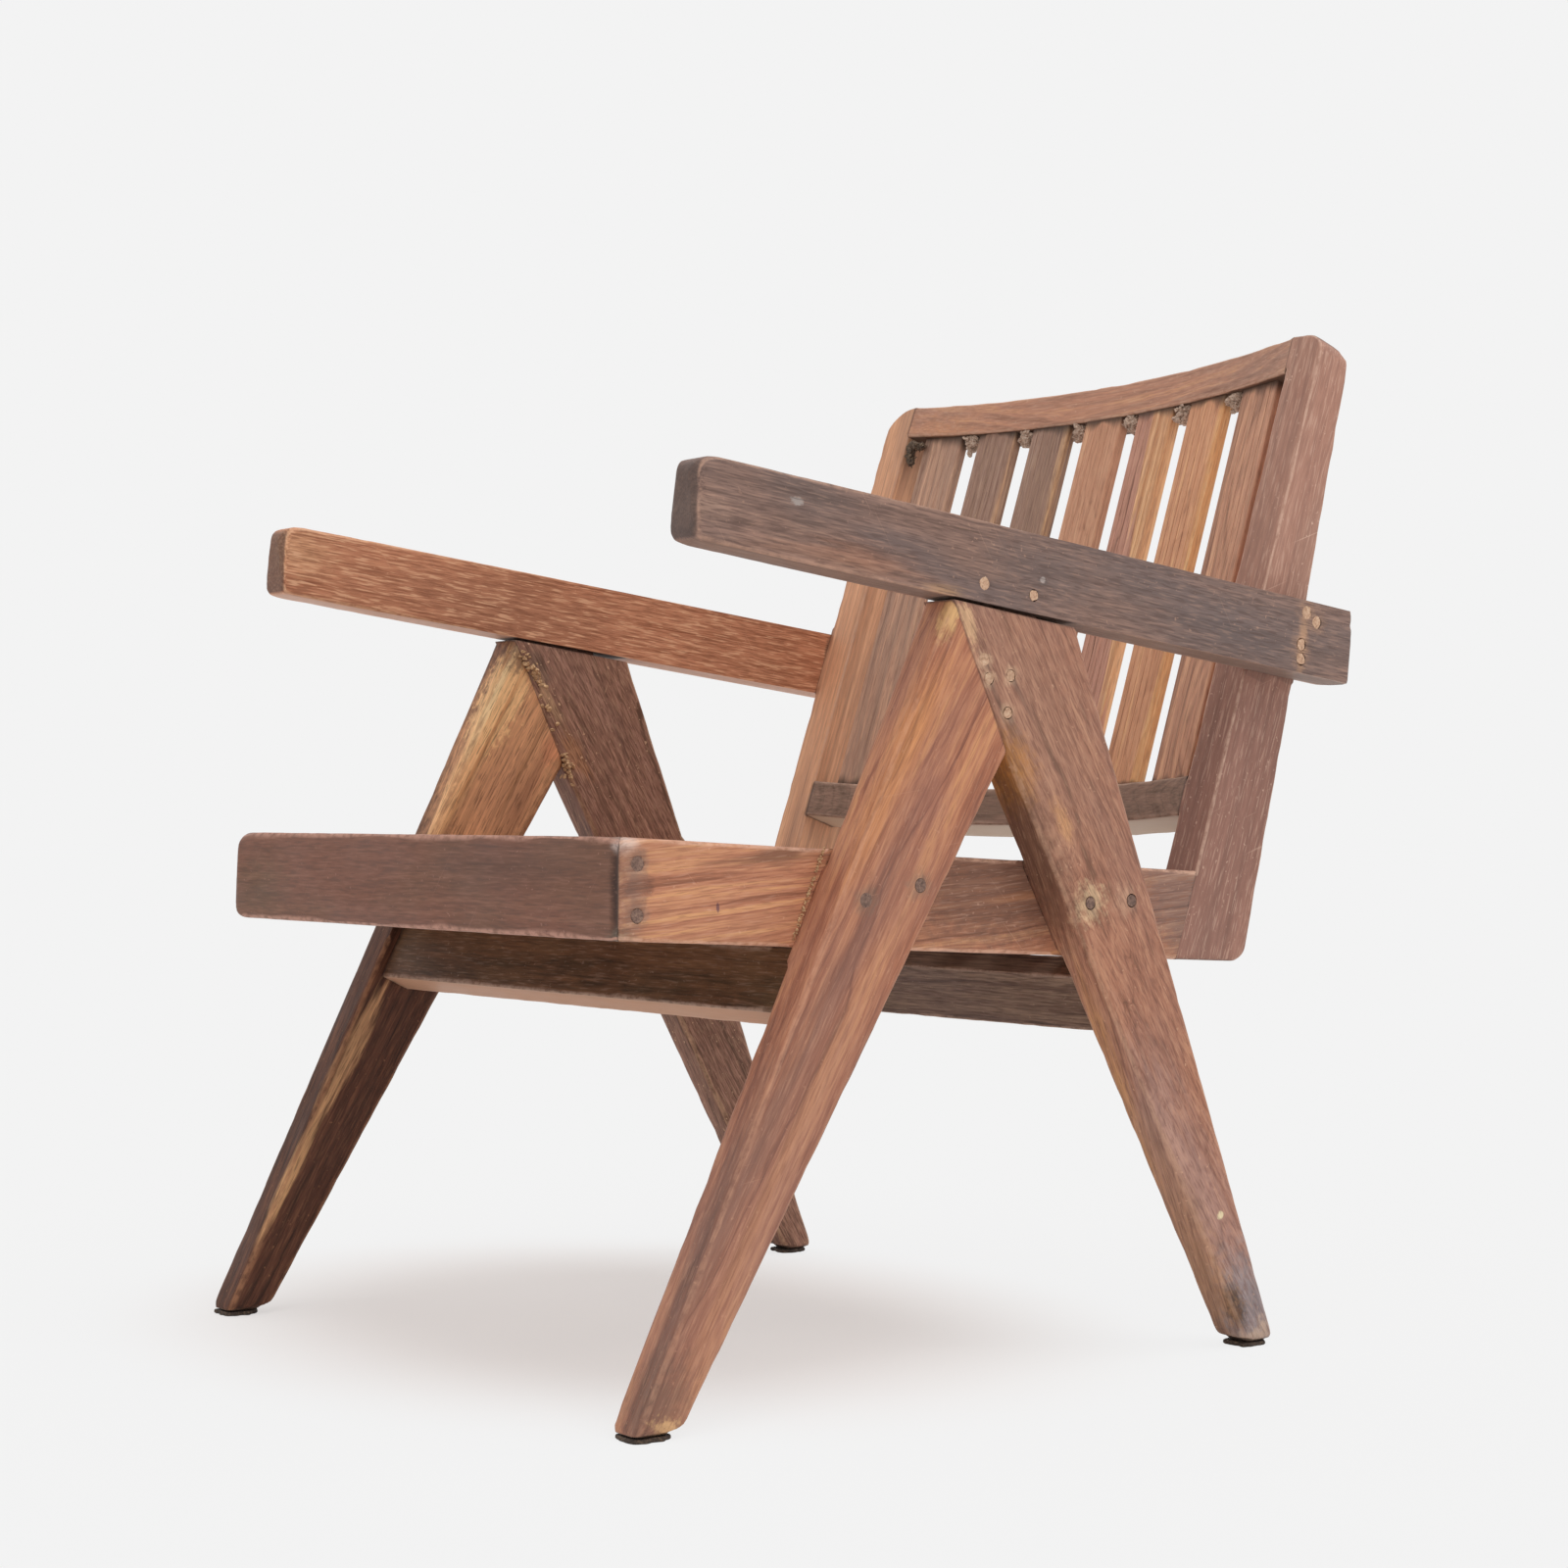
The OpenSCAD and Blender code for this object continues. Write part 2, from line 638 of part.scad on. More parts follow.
left_arm();
right_arm();
left_front_leg();
right_front_leg();
left_rear_leg();
right_rear_leg();
left_front_foot_pad();
right_front_foot_pad();
left_rear_foot_pad();
right_rear_foot_pad();
front_cross_rail();
rear_cross_rail();
seat_front_rail();
seat_left_rail();
seat_right_rail();
seat_rear_rail();
for (i = [1:seat_slats]) seat_slat(i);
left_stile();
right_stile();
back_top_rail();
back_bottom_rail();
for (i = [1:back_slats]) back_slat(i);
left_arm_screws();
right_arm_screws();
left_leg_screws();
right_leg_screws();
left_corner_screws();
right_corner_screws();
left_arm_plugs();
right_arm_plugs();
left_leg_plugs();
right_leg_plugs();
left_corner_plugs();
right_corner_plugs();
left_joint_pins();
right_joint_pins();
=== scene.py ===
"""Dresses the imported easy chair: an open, hand-made frame of old oiled teak.

Every board is a copy of its CAD node with worn arrises, and the slats, plugs and pins are laid out
by Geometry Nodes on the places of their CAD nodes. Lengths that end in _mm are in millimetres.
"""
import logging
import math
from dataclasses import dataclass
from enum import Enum

import bmesh
import bpy
import numpy as np
from mathutils import Euler, Matrix, Vector, noise
from mathutils.bvhtree import BVHTree
from mathutils.kdtree import KDTree


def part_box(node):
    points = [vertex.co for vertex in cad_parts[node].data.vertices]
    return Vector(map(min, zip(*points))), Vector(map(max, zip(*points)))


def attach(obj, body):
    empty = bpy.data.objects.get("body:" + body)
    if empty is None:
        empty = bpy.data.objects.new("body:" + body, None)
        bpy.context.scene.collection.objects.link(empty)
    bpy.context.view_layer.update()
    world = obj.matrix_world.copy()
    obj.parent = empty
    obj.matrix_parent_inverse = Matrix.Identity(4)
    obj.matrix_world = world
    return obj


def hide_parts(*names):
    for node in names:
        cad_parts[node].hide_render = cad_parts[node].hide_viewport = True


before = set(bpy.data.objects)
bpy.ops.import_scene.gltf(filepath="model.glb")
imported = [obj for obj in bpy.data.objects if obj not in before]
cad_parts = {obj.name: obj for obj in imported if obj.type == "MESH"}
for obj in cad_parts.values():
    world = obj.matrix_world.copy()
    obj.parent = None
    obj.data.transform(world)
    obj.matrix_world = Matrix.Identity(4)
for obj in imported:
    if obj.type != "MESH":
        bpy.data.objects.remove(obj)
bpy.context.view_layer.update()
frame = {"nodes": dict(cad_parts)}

log = logging.getLogger("easy_chair")

MM = 0.001
BODY = "root"
IMAGE_WIDTH_PX = 1600
SENSOR_MM = 36.0
ACROSS = Vector((1.0, 0.0, 0.0))
FASTENINGS = tuple(name for name in frame["nodes"] if name.endswith(("_pins", "_plugs", "_screws")))

Triple = tuple[float, float, float]
Direction = Vector | Triple
Colour = tuple[float, float, float, float]
Socket = bpy.types.NodeSocket

VECTOR, MATH, MIX, RANGE = "ShaderNodeVectorMath", "ShaderNodeMath", "ShaderNodeMix", "ShaderNodeMapRange"
NOISE, MAPPING, ATTRIBUTE = "ShaderNodeTexNoise", "ShaderNodeMapping", "ShaderNodeAttribute"

# Corners of CAD faces that lie closer together than this are one corner
WELD_M = 2e-6
# Faces that meet at a greater angle have a sharp edge between them
SHARP_DEG = 40.0
# The surface keeps to the CAD's next to a joint and dips from there on over this length
JOINT_FADE_MM = 4.0

# A colour mix lays the socket OVER on the socket UNDER by its SHARE
SHARE, UNDER, OVER, RESULT = 0, 6, 7, 2
# A range turns LOW to FROM, which is 0 if left out, and HIGH to TO, which is 1
LOW, HIGH, FROM, TO = 1, 2, 3, 4


def linear(hex_colour: str) -> Colour:
    """Turns an sRGB hex colour into the linear RGBA that nodes use.

    Args:
        hex_colour: A colour such as "#9c6b4a".

    Returns:
        Red, green, blue and alpha, linear.
    """
    parts = [int(hex_colour[i:i + 2], 16) / 255 for i in (1, 3, 5)]
    return (*((c / 12.92 if c <= 0.04045 else ((c + 0.055) / 1.055) ** 2.4) for c in parts), 1.0)


def in_side_view(angle_deg: float) -> Vector:
    """Gives the direction at an angle above the rearward axis, seen from the side.

    Args:
        angle_deg: 0 points to the rear, 90 points up, 180 points to the front.

    Returns:
        A unit vector in the plane x = 0.
    """
    a = math.radians(angle_deg)
    return Vector((0.0, math.cos(a), math.sin(a)))


def grain_frame(grain: Vector) -> Matrix:
    """Builds axes whose first one runs along the grain.

    Args:
        grain: Direction of the grain.

    Returns:
        A 3x3 matrix with the axes as its columns.
    """
    first = grain.normalized()
    side = ACROSS if abs(first.dot(ACROSS)) < 0.9 else Vector((0.0, 1.0, 0.0))
    second = (side - first * side.dot(first)).normalized()
    return Matrix((first, second, first.cross(second))).transposed()


class NodeSheet:
    """A node tree that is filled one node at a time."""

    def __init__(self, tree: bpy.types.NodeTree) -> None:
        """Takes the tree and empties it."""
        self.tree = tree
        tree.nodes.clear()

    def add(self, kind: str, links: dict | None = None, out: int | str = 0, stops: tuple = (),
            **settings) -> Socket | None:
        """Adds a node with its settings, input values and links.

        Args:
            kind: The node's type name.
            links: For each input's name or index, a value or the socket that feeds it.
            out: Name or index of the output to return.
            stops: Colour stops of a ramp, as (place, linear colour).
            **settings: Properties of the node.

        Returns:
            The output socket, or None where the node has no output.
        """
        node = self.tree.nodes.new(kind)
        for name, value in settings.items():
            setattr(node, name, value)
        for key, value in (links or {}).items():
            if isinstance(value, Socket):
                self.tree.links.new(value, node.inputs[key])
            else:
                node.inputs[key].default_value = value
        if stops:
            elements = node.color_ramp.elements
            elements[0].position, elements[0].color = stops[0]
            elements[1].position, elements[1].color = stops[-1]
            for place, colour in stops[1:-1]:
                elements.new(place).color = colour
        return node.outputs[out] if node.outputs else None


def sheet_of(owner: bpy.types.Material | bpy.types.World) -> NodeSheet:
    """Turns the nodes of a material or a world on, and empties them."""
    owner.use_nodes = True
    return NodeSheet(owner.node_tree)


def welded(node: str) -> bmesh.types.BMesh:
    """Reads a CAD node as a mesh whose faces share their corners.

    Args:
        node: The node.

    Returns:
        The mesh, for the caller to free.
    """
    mesh = bmesh.new()
    mesh.from_mesh(frame["nodes"][node].data)
    bmesh.ops.remove_doubles(mesh, verts=mesh.verts, dist=WELD_M)
    return mesh


def taken_up(data: bpy.types.Mesh) -> bmesh.types.BMesh:
    """Takes a finished mesh up again, to change it.

    Args:
        data: The finished mesh, which is removed.

    Returns:
        The mesh, for the caller to free.
    """
    mesh = bmesh.new()
    mesh.from_mesh(data)
    bpy.data.meshes.remove(data)
    return mesh


class Facing(Enum):
    """The side of the chair that a piece is on."""

    LEFT = 1
    RIGHT = -1

    @property
    def prefix(self) -> str:
        """The start of the piece's name."""
        return self.name.lower() + "_"


@dataclass(frozen=True)
class Mark:
    """A stain, a worn place, a filling, a painted highlight or a painted shade on a board.

    Attributes:
        at_mm: Its middle.
        size_mm: Half its length along the grain and half its width.
        colour: Its sRGB colour.
        strength: How much it covers the wood, up to 1.
        ragged: How far its edge wanders, as a share of its size.
        soft: How softly its edge fades, as a share of its size.
        turn_deg: Its turn away from the grain.
    """

    at_mm: Triple
    size_mm: tuple[float, float]
    colour: str
    strength: float = 0.7
    ragged: float = 0.9
    soft: float = 0.3
    turn_deg: float = 0.0


@dataclass(frozen=True)
class Knot:
    """A small knot, round which the rings bend.

    Attributes:
        at_mm: Its middle.
        size_mm: Half the length and half the width of the disturbed grain.
        swirl_mm: How far it pushes the rings.
        colour: Colour of its heart.
        strength: How dark its heart is, up to 1.
    """

    at_mm: Triple
    size_mm: tuple[float, float] = (28.0, 9.0)
    swirl_mm: float = 14.0
    colour: str = "#4a3430"
    strength: float = 0.7


@dataclass(frozen=True)
class Sapwood:
    """The paler wood from under the bark, on one side of a board.

    Attributes:
        at_mm: A point on its border.
        towards: Direction in which the sapwood lies.
        colour: Its main colour.
        pale: Its lightest colour.
        soft_mm: Width over which it sets in.
    """

    at_mm: Triple
    towards: Triple
    colour: str = "#c79a6c"
    pale: str = "#dcb98a"
    soft_mm: float = 4.0


@dataclass(frozen=True)
class OiledTeak:
    """Old teak, oiled by hand: growth rings in bands, long fibres and short dark pores.

    Attributes:
        name: Name of the board that it is for.
        grain: Direction of the grain.
        pith_mm: A point on the heart line of the tree, round which the rings lie.
        dark: Colour of the darkest rings.
        deep: Colour of the dark bands.
        mid: Main colour.
        light: Colour of the light bands.
        ring_mm: Mean width of a band of rings.
        ripple_mm: How far the rings wander.
        curl_mm: How far they wave in short curls.
        contrast: How strongly the bands show.
        fibre: How strongly the fibres show.
        lines: How strongly the thin dark lines of single rings show.
        pores: How strongly the pores show.
        pore: Colour of the pores.
        flecks: How strongly the light flecks between the pores show.
        dust: How strongly pale crumbs and scratches show.
        tint: Colour of the broad cloudy places.
        tint_amount: How strongly they show.
        worn: Colour of the rubbed arrises, crumbs and scratches.
        worn_mm: Width of the rubbed arrises.
        worn_amount: How strongly they are rubbed, up to 1.
        grime_and_shade: Colour of the dirt in the corners.
        grime_mm: Width of that dirt.
        grime_and_shade_amount: How strongly it shows, up to 1.
        end: Colour of the end grain.
        end_amount: How strongly that colour shows, up to 1.
        under: Colour of faces that look down: painted light bounced from the floor where pale, painted shade
            where dark.
        under_amount: How strongly it shows, up to 1.
        sheen: Mean roughness of the oiled surface.
        sapwood: The sapwood, if it shows.
        knots: Its knots.
        marks: Its marks.
        seed: Sets the board's own pattern.
    """

    name: str
    grain: Triple
    pith_mm: Triple
    dark: str
    deep: str
    mid: str
    light: str
    ring_mm: float = 9.0
    ripple_mm: float = 9.0
    curl_mm: float = 2.0
    contrast: float = 1.0
    fibre: float = 0.5
    lines: float = 0.4
    pores: float = 0.5
    pore: str = "#4a3128"
    flecks: float = 0.15
    dust: float = 0.25
    tint: str = "#7b645c"
    tint_amount: float = 0.35
    worn: str = "#c9a692"
    worn_mm: float = 2.2
    worn_amount: float = 0.6
    # grime: Colour of the dirt and the painted shade at the joints.
    grime_and_shade: str = "#4a3a33"
    # grime_mm: Width of that dirt and painted shade.
    grime_mm: float = 2.0
    grime_and_shade_amount: float = 0.6
    end: str = "#5a4b44"
    end_amount: float = 0.7
    # Faces that look down are a little paler by default: painted light bounced from the floor
    under: str = "#b09482"
    under_amount: float = 0.3
    sheen: float = 0.5
    sapwood: Sapwood | None = None
    knots: tuple[Knot, ...] = ()
    marks: tuple[Mark, ...] = ()
    seed: float = 0.0


class TeakShader:
    """Builds the nodes of one board's finish, in the board's own grain space."""

    # Real lengths: a teak pore is 0.2 to 0.3 mm wide and up to 10 mm long. Pores, fibres and crumbs
    # are drawn about three times as coarse, so that they show in a picture with 0.65 mm to the pixel.
    PORE_MM = (16.0, 1.3)
    FIBRE_MM = (48.0, 1.7)
    STREAK_MM = (240.0, 6.0)
    CLOUD_MM = (150.0, 45.0)
    RIPPLE_MM = (170.0, 38.0)
    CURL_MM = (42.0, 15.0)
    RUB_MM = (60.0, 24.0)
    CHIP_MM = (7.0, 5.0)
    SPLINTER_MM = (45.0, 3.5)
    CRUMB_MM = (3.6, 3.0)
    SCRATCH_MM = (75.0, 1.5)
    SCRATCH_TURN_DEG = 38.0
    SAP_WANDER_MM = 22.0
    RELIEF_MM = 0.35

    # Weights of the patterns that shade the wood
    BANDS, STREAKS, FIBRES, LINES = 1.7, 1.1, 2.0, 0.55
    SAP_COVER = 0.92
    # The heart of a knot, as a share of its length and of its width
    HEART = (0.3, 0.45)
    RELIEF_STRENGTH = 0.55
    SPECULAR = 0.22

    def __init__(self, finish: OiledTeak) -> None:
        """Makes the empty material.

        Args:
            finish: The finish to build.
        """
        self.finish = finish
        self.material = bpy.data.materials.new("oiled_teak_" + finish.name)
        self.sheet = sheet_of(self.material)
        self.turn = grain_frame(Vector(finish.grain)).to_euler("XYZ")
        self.place = self.sheet.add("ShaderNodeTexCoord", out="Object")

    def stretched(self, space: Socket, size_mm: tuple[float, float], detail: float = 2.0,
                  rough: float = 0.5, out: str = "Fac") -> Socket:
        """Draws an uneven pattern that is long along the grain.

        Args:
            space: The grain space, in mm.
            size_mm: The pattern's length along the grain and its width.
            detail: How many finer layers it has.
            rough: Strength of the finer layers.
            out: The output to return.

        Returns:
            The pattern, about 0.5 on average.
        """
        along, wide = size_mm
        scaled = self.sheet.add(VECTOR, {0: space, 1: (1 / along, 1 / wide, 1 / wide)},
                                operation="MULTIPLY")
        return self.sheet.add(NOISE, {"Vector": scaled, "W": self.finish.seed, "Scale": 1.0,
                                      "Detail": detail, "Roughness": rough},
                              out=out, noise_dimensions="4D")

    def away_from(self, at_mm: Triple, size_mm: tuple[float, float], fray: Socket,
                  ragged: float, turn_deg: float = 0.0) -> Socket:
        """Measures how far a point lies from the middle of a spot, with 1 at the spot's edge.

        Args:
            at_mm: The spot's middle.
            size_mm: Half its length along the grain and half its width.
            fray: A colour noise that frays its edge.
            ragged: How strongly it frays.
            turn_deg: The spot's turn away from the grain.

        Returns:
            The distance, as a share of the size.
        """
        add = self.sheet.add
        turn = (Matrix.Rotation(math.radians(turn_deg), 3, "X") @ self.turn.to_matrix()).to_euler("XYZ")
        local = add(MAPPING, {"Vector": self.place, "Location": Vector(at_mm) * MM, "Rotation": turn,
                              "Scale": Vector((size_mm[0], size_mm[1], size_mm[1])) * MM},
                    vector_type="TEXTURE")
        frayed = add(VECTOR, {0: fray, 1: (2 * ragged,) * 3, 2: local}, operation="MULTIPLY_ADD")
        centred = add(VECTOR, {0: frayed, 1: (ragged,) * 3}, operation="SUBTRACT")
        return add(VECTOR, {0: centred}, out="Value", operation="LENGTH")

    def rings(self, space: Socket, fray: Socket) -> Socket:
        """Measures the distance from the pith, rippled along the grain and bent round the knots.

        Args:
            space: The grain space, in mm.
            fray: A colour noise that frays the knots.

        Returns:
            The distance, in rings.
        """
        add, f = self.sheet.add, self.finish
        bent = space
        for size_mm, reach in ((self.RIPPLE_MM, f.ripple_mm), (self.CURL_MM, f.curl_mm)):
            bent = add(VECTOR, {0: self.stretched(space, size_mm, out="Color"),
                                1: (0.0, 2 * reach, 2 * reach), 2: bent}, operation="MULTIPLY_ADD")
        section = add(VECTOR, {0: bent, 1: (0.0, 1.0, 1.0)}, operation="MULTIPLY")
        radius = add(VECTOR, {0: section}, out="Value", operation="LENGTH")
        for knot in f.knots:
            away = self.away_from(knot.at_mm, knot.size_mm, fray, 0.08)
            bulge = add(RANGE, {0: away, LOW: 2.2, HIGH: 0.0, TO: knot.swirl_mm},
                        interpolation_type="SMOOTHSTEP")
            radius = add(MATH, {0: radius, 1: bulge}, operation="ADD")
        return add(MATH, {0: radius, 1: f.ring_mm}, operation="DIVIDE")

    def shade(self, ring: Socket, streak: Socket, fibre: Socket) -> Socket:
        """Joins bands of rings, thin dark lines, streaks and fibres to one value.

        Args:
            ring: The distance from the pith, in rings.
            streak: The broad streaks.
            fibre: The fine fibres.

        Returns:
            The shade of the wood, 0.5 on average, darker below.
        """
        add, f = self.sheet.add, self.finish
        shifted = add(MATH, {0: ring, 1: f.seed}, operation="ADD")
        bands = add(NOISE, {"W": shifted, "Scale": 1.0, "Detail": 5.0, "Roughness": 0.66},
                    noise_dimensions="1D")
        slow = add(NOISE, {"W": shifted, "Scale": 1.1, "Detail": 1.5, "Roughness": 0.5},
                   noise_dimensions="1D")
        slow = add(MATH, {0: add(MATH, {0: slow, 1: 0.5}, operation="SUBTRACT")}, operation="ABSOLUTE")
        line = add(RANGE, {0: slow, LOW: 0.0, HIGH: 0.04, FROM: 1.0, TO: 0.0})
        # The patterns are 0.5 on average and the lines 0.1, which comes off first
        total = (0.5 - 0.5 * (self.BANDS * f.contrast + self.STREAKS + self.FIBRES * f.fibre)
                 + 0.06 * f.lines)
        for part, weight in ((bands, self.BANDS * f.contrast), (streak, self.STREAKS),
                             (fibre, self.FIBRES * f.fibre), (line, -self.LINES * f.lines)):
            total = add(MATH, {0: part, 1: weight, 2: total}, operation="MULTIPLY_ADD")
        return total

    def dusted(self, tone: Socket, space: Socket, uneven: Socket) -> Socket:
        """Scatters pale crumbs and draws fine scratches askew to the grain.

        Args:
            tone: The colour so far.
            space: The grain space, in mm.
            uneven: A pattern that gathers them in places.

        Returns:
            The new colour.
        """
        add, f = self.sheet.add, self.finish
        turn = math.radians(self.SCRATCH_TURN_DEG)
        askew = add(MAPPING, {"Vector": space, "Rotation": (turn, 0.0, turn)})
        askew = add(MAPPING, {"Vector": askew, "Rotation": (0.0, turn, 0.0)})
        gather = add(RANGE, {0: uneven, LOW: 0.42, HIGH: 0.66, FROM: 0.15, TO: f.dust})
        for spread, size_mm, low, high, share in ((space, self.CRUMB_MM, 0.66, 0.72, 1.0),
                                                  (askew, self.SCRATCH_MM, 0.68, 0.76, 0.7)):
            speck = add(RANGE, {0: self.stretched(spread, size_mm, 1.5, 0.6), LOW: low, HIGH: high,
                                TO: share}, interpolation_type="SMOOTHSTEP")
            amount = add(MATH, {0: speck, 1: gather}, operation="MULTIPLY")
            tone = add(MIX, {SHARE: amount, UNDER: tone, OVER: linear(f.worn)}, out=RESULT, data_type="RGBA")
        return tone

    def sapwood(self, tone: Socket, shade: Socket, streak: Socket) -> Socket:
        """Lays the sapwood over one side of the board.

        Args:
            tone: The colour so far.
            shade: The shade of the wood.
            streak: The broad streaks, which make its border wander.

        Returns:
            The new colour.
        """
        add, sap = self.sheet.add, self.finish.sapwood
        towards = Vector(sap.towards).normalized()
        depth = add(VECTOR, {0: self.place, 1: towards / MM}, out="Value", operation="DOT_PRODUCT")
        depth = add(MATH, {0: streak, 1: self.SAP_WANDER_MM, 2: depth}, operation="MULTIPLY_ADD")
        border = towards.dot(Vector(sap.at_mm)) + self.SAP_WANDER_MM / 2
        amount = add(RANGE, {0: depth, LOW: border - sap.soft_mm, HIGH: border + sap.soft_mm,
                             TO: self.SAP_COVER}, interpolation_type="SMOOTHSTEP")
        lit = add(RANGE, {0: shade, LOW: 0.3, HIGH: 0.8}, interpolation_type="SMOOTHSTEP")
        pale = add(MIX, {SHARE: lit, UNDER: linear(sap.colour), OVER: linear(sap.pale)}, out=RESULT,
                   data_type="RGBA")
        return add(MIX, {SHARE: amount, UNDER: tone, OVER: pale}, out=RESULT, data_type="RGBA")

    def spots(self, tone: Socket, space: Socket, fray: Socket, shade: Socket) -> Socket:
        """Paints the hearts of the knots, and the marks, with the grain showing through.

        Args:
            tone: The colour so far.
            space: The grain space, in mm.
            fray: A colour noise that frays the edges of round marks.
            shade: The shade of the wood.

        Returns:
            The new colour.
        """
        add = self.sheet.add
        hearts = [Mark(knot.at_mm, (knot.size_mm[0] * self.HEART[0], knot.size_mm[1] * self.HEART[1]),
                       knot.colour, knot.strength, 0.3)
                  for knot in self.finish.knots]
        splinters = self.stretched(space, self.SPLINTER_MM, 3.0, 0.6, "Color")
        relief = add(RANGE, {0: shade, LOW: 0.1, HIGH: 0.9, FROM: 0.72, TO: 1.22})
        for mark in (*hearts, *self.finish.marks):
            edge = splinters if mark.size_mm[0] > 3 * mark.size_mm[1] else fray
            away = self.away_from(mark.at_mm, mark.size_mm, edge, mark.ragged, mark.turn_deg)
            amount = add(RANGE, {0: away, LOW: 1.0 + mark.soft, HIGH: 1.0 - mark.soft, TO: mark.strength},
                         interpolation_type="SMOOTHSTEP")
            paint = add(VECTOR, {0: linear(mark.colour)[:3], "Scale": relief}, operation="SCALE")
            tone = add(MIX, {SHARE: amount, UNDER: tone, OVER: paint}, out=RESULT, data_type="RGBA")
        return tone

    def rubbed(self, tone: Socket, uneven: Socket, fray: Socket) -> Socket:
        """Rubs the arrises pale, paints bounce light and shade on downward faces, adds dirt and painted
        shade at joints, darkens end grain.

        Args:
            tone: The colour so far.
            uneven: A pattern that makes the rubbing and the dirt uneven.
            fray: A finer noise that breaks the rubbed arrises up.

        Returns:
            The new colour.
        """
        add, f = self.sheet.add, self.finish
        # Faces that look down get the under colour: painted light bounced from the floor, or painted shade
        # under the back's top rail
        height = add("ShaderNodeSeparateXYZ", {"Vector": add("ShaderNodeTexCoord", out="Normal")}, out="Z")
        amount = add(RANGE, {0: height, LOW: -0.6, HIGH: -0.95, TO: f.under_amount})
        tone = add(MIX, {SHARE: amount, UNDER: tone, OVER: linear(f.under)}, out=RESULT, data_type="RGBA")
        broken = add(RANGE, {0: fray, LOW: 0.4, HIGH: 0.55, FROM: 0.25 * f.worn_amount, TO: f.worn_amount})
        # Arrises are rubbed pale; near the joints the wood gets dirt and painted shade
        for name, widths, colour, strength in (
                ("arris", (0.15, 1.7 * f.worn_mm), f.worn, broken),
                ("joint", (1.6 * f.grime_mm, 0.3), f.grime_and_shade, f.grime_and_shade_amount)):
            carried = add(ATTRIBUTE, out="Fac", attribute_name=name)
            limit = add(RANGE, {0: uneven, LOW: 0.3, HIGH: 0.7, FROM: widths[0], TO: widths[1]})
            share = add(MATH, {0: carried, 1: limit}, operation="DIVIDE")
            amount = add(RANGE, {0: share, LOW: 1.25, HIGH: 0.1, TO: strength},
                         interpolation_type="SMOOTHSTEP")
            tone = add(MIX, {SHARE: amount, UNDER: tone, OVER: linear(colour)}, out=RESULT, data_type="RGBA")
        end = add(ATTRIBUTE, out="Fac", attribute_name="end_grain")
        amount = add(MATH, {0: end, 1: f.end_amount}, operation="MULTIPLY")
        return add(MIX, {SHARE: amount, UNDER: tone, OVER: linear(f.end)}, out=RESULT, data_type="RGBA")

    def build(self) -> bpy.types.Material:
        """Builds the whole finish.

        Returns:
            The material.
        """
        add, f = self.sheet.add, self.finish
        space = add(MAPPING, {"Vector": self.place, "Location": Vector(f.pith_mm) * MM,
                              "Rotation": self.turn, "Scale": (MM, MM, MM)}, vector_type="TEXTURE")
        fray = self.stretched(space, self.CHIP_MM, 3.0, 0.65, "Color")
        streak = self.stretched(space, self.STREAK_MM)
        fibre = self.stretched(space, self.FIBRE_MM, 3.0, 0.6)
        shade = self.shade(self.rings(space, fray), streak, fibre)
        tone = add("ShaderNodeValToRGB", {0: shade}, stops=(
            (0.08, linear(f.dark)), (0.3, linear(f.deep)), (0.55, linear(f.mid)), (0.92, linear(f.light))))
        if f.sapwood:
            tone = self.sapwood(tone, shade, streak)
        cloud = add(RANGE, {0: self.stretched(space, self.CLOUD_MM), LOW: 0.42, HIGH: 0.68,
                            TO: f.tint_amount}, interpolation_type="SMOOTHSTEP")
        tone = add(MIX, {SHARE: cloud, UNDER: tone, OVER: linear(f.tint)}, out=RESULT, data_type="RGBA")
        tone = self.spots(tone, space, fray, shade)
        dashes = self.stretched(space, self.PORE_MM, 1.5)
        pore = add(RANGE, {0: dashes, LOW: 0.53, HIGH: 0.62, TO: 1.4 * f.pores})
        fleck = add(RANGE, {0: dashes, LOW: 0.44, HIGH: 0.36, TO: f.flecks})
        tone = add(MIX, {SHARE: pore, UNDER: tone, OVER: linear(f.pore)}, out=RESULT, data_type="RGBA")
        tone = add(MIX, {SHARE: fleck, UNDER: tone, OVER: linear(f.worn)}, out=RESULT, data_type="RGBA")
        uneven = self.stretched(space, self.RUB_MM, 2.0, 0.5)
        tone = self.rubbed(self.dusted(tone, space, uneven), uneven, fray)

        relief = add(MATH, {0: fibre, 1: 0.8, 2: uneven}, operation="MULTIPLY_ADD")
        relief = add(MATH, {0: pore, 1: -0.9, 2: relief}, operation="MULTIPLY_ADD")
        bump = add("ShaderNodeBump", {"Height": relief, "Distance": self.RELIEF_MM * MM,
                                      "Strength": self.RELIEF_STRENGTH})
        gloss = add(RANGE, {0: uneven, LOW: 0.25, HIGH: 0.75, FROM: f.sheen - 0.09, TO: f.sheen + 0.12})
        shader = add("ShaderNodeBsdfPrincipled", {"Base Color": tone, "Roughness": gloss, "Normal": bump,
                                                  "Specular IOR Level": self.SPECULAR})
        add("ShaderNodeOutputMaterial", {"Surface": shader})
        return self.material


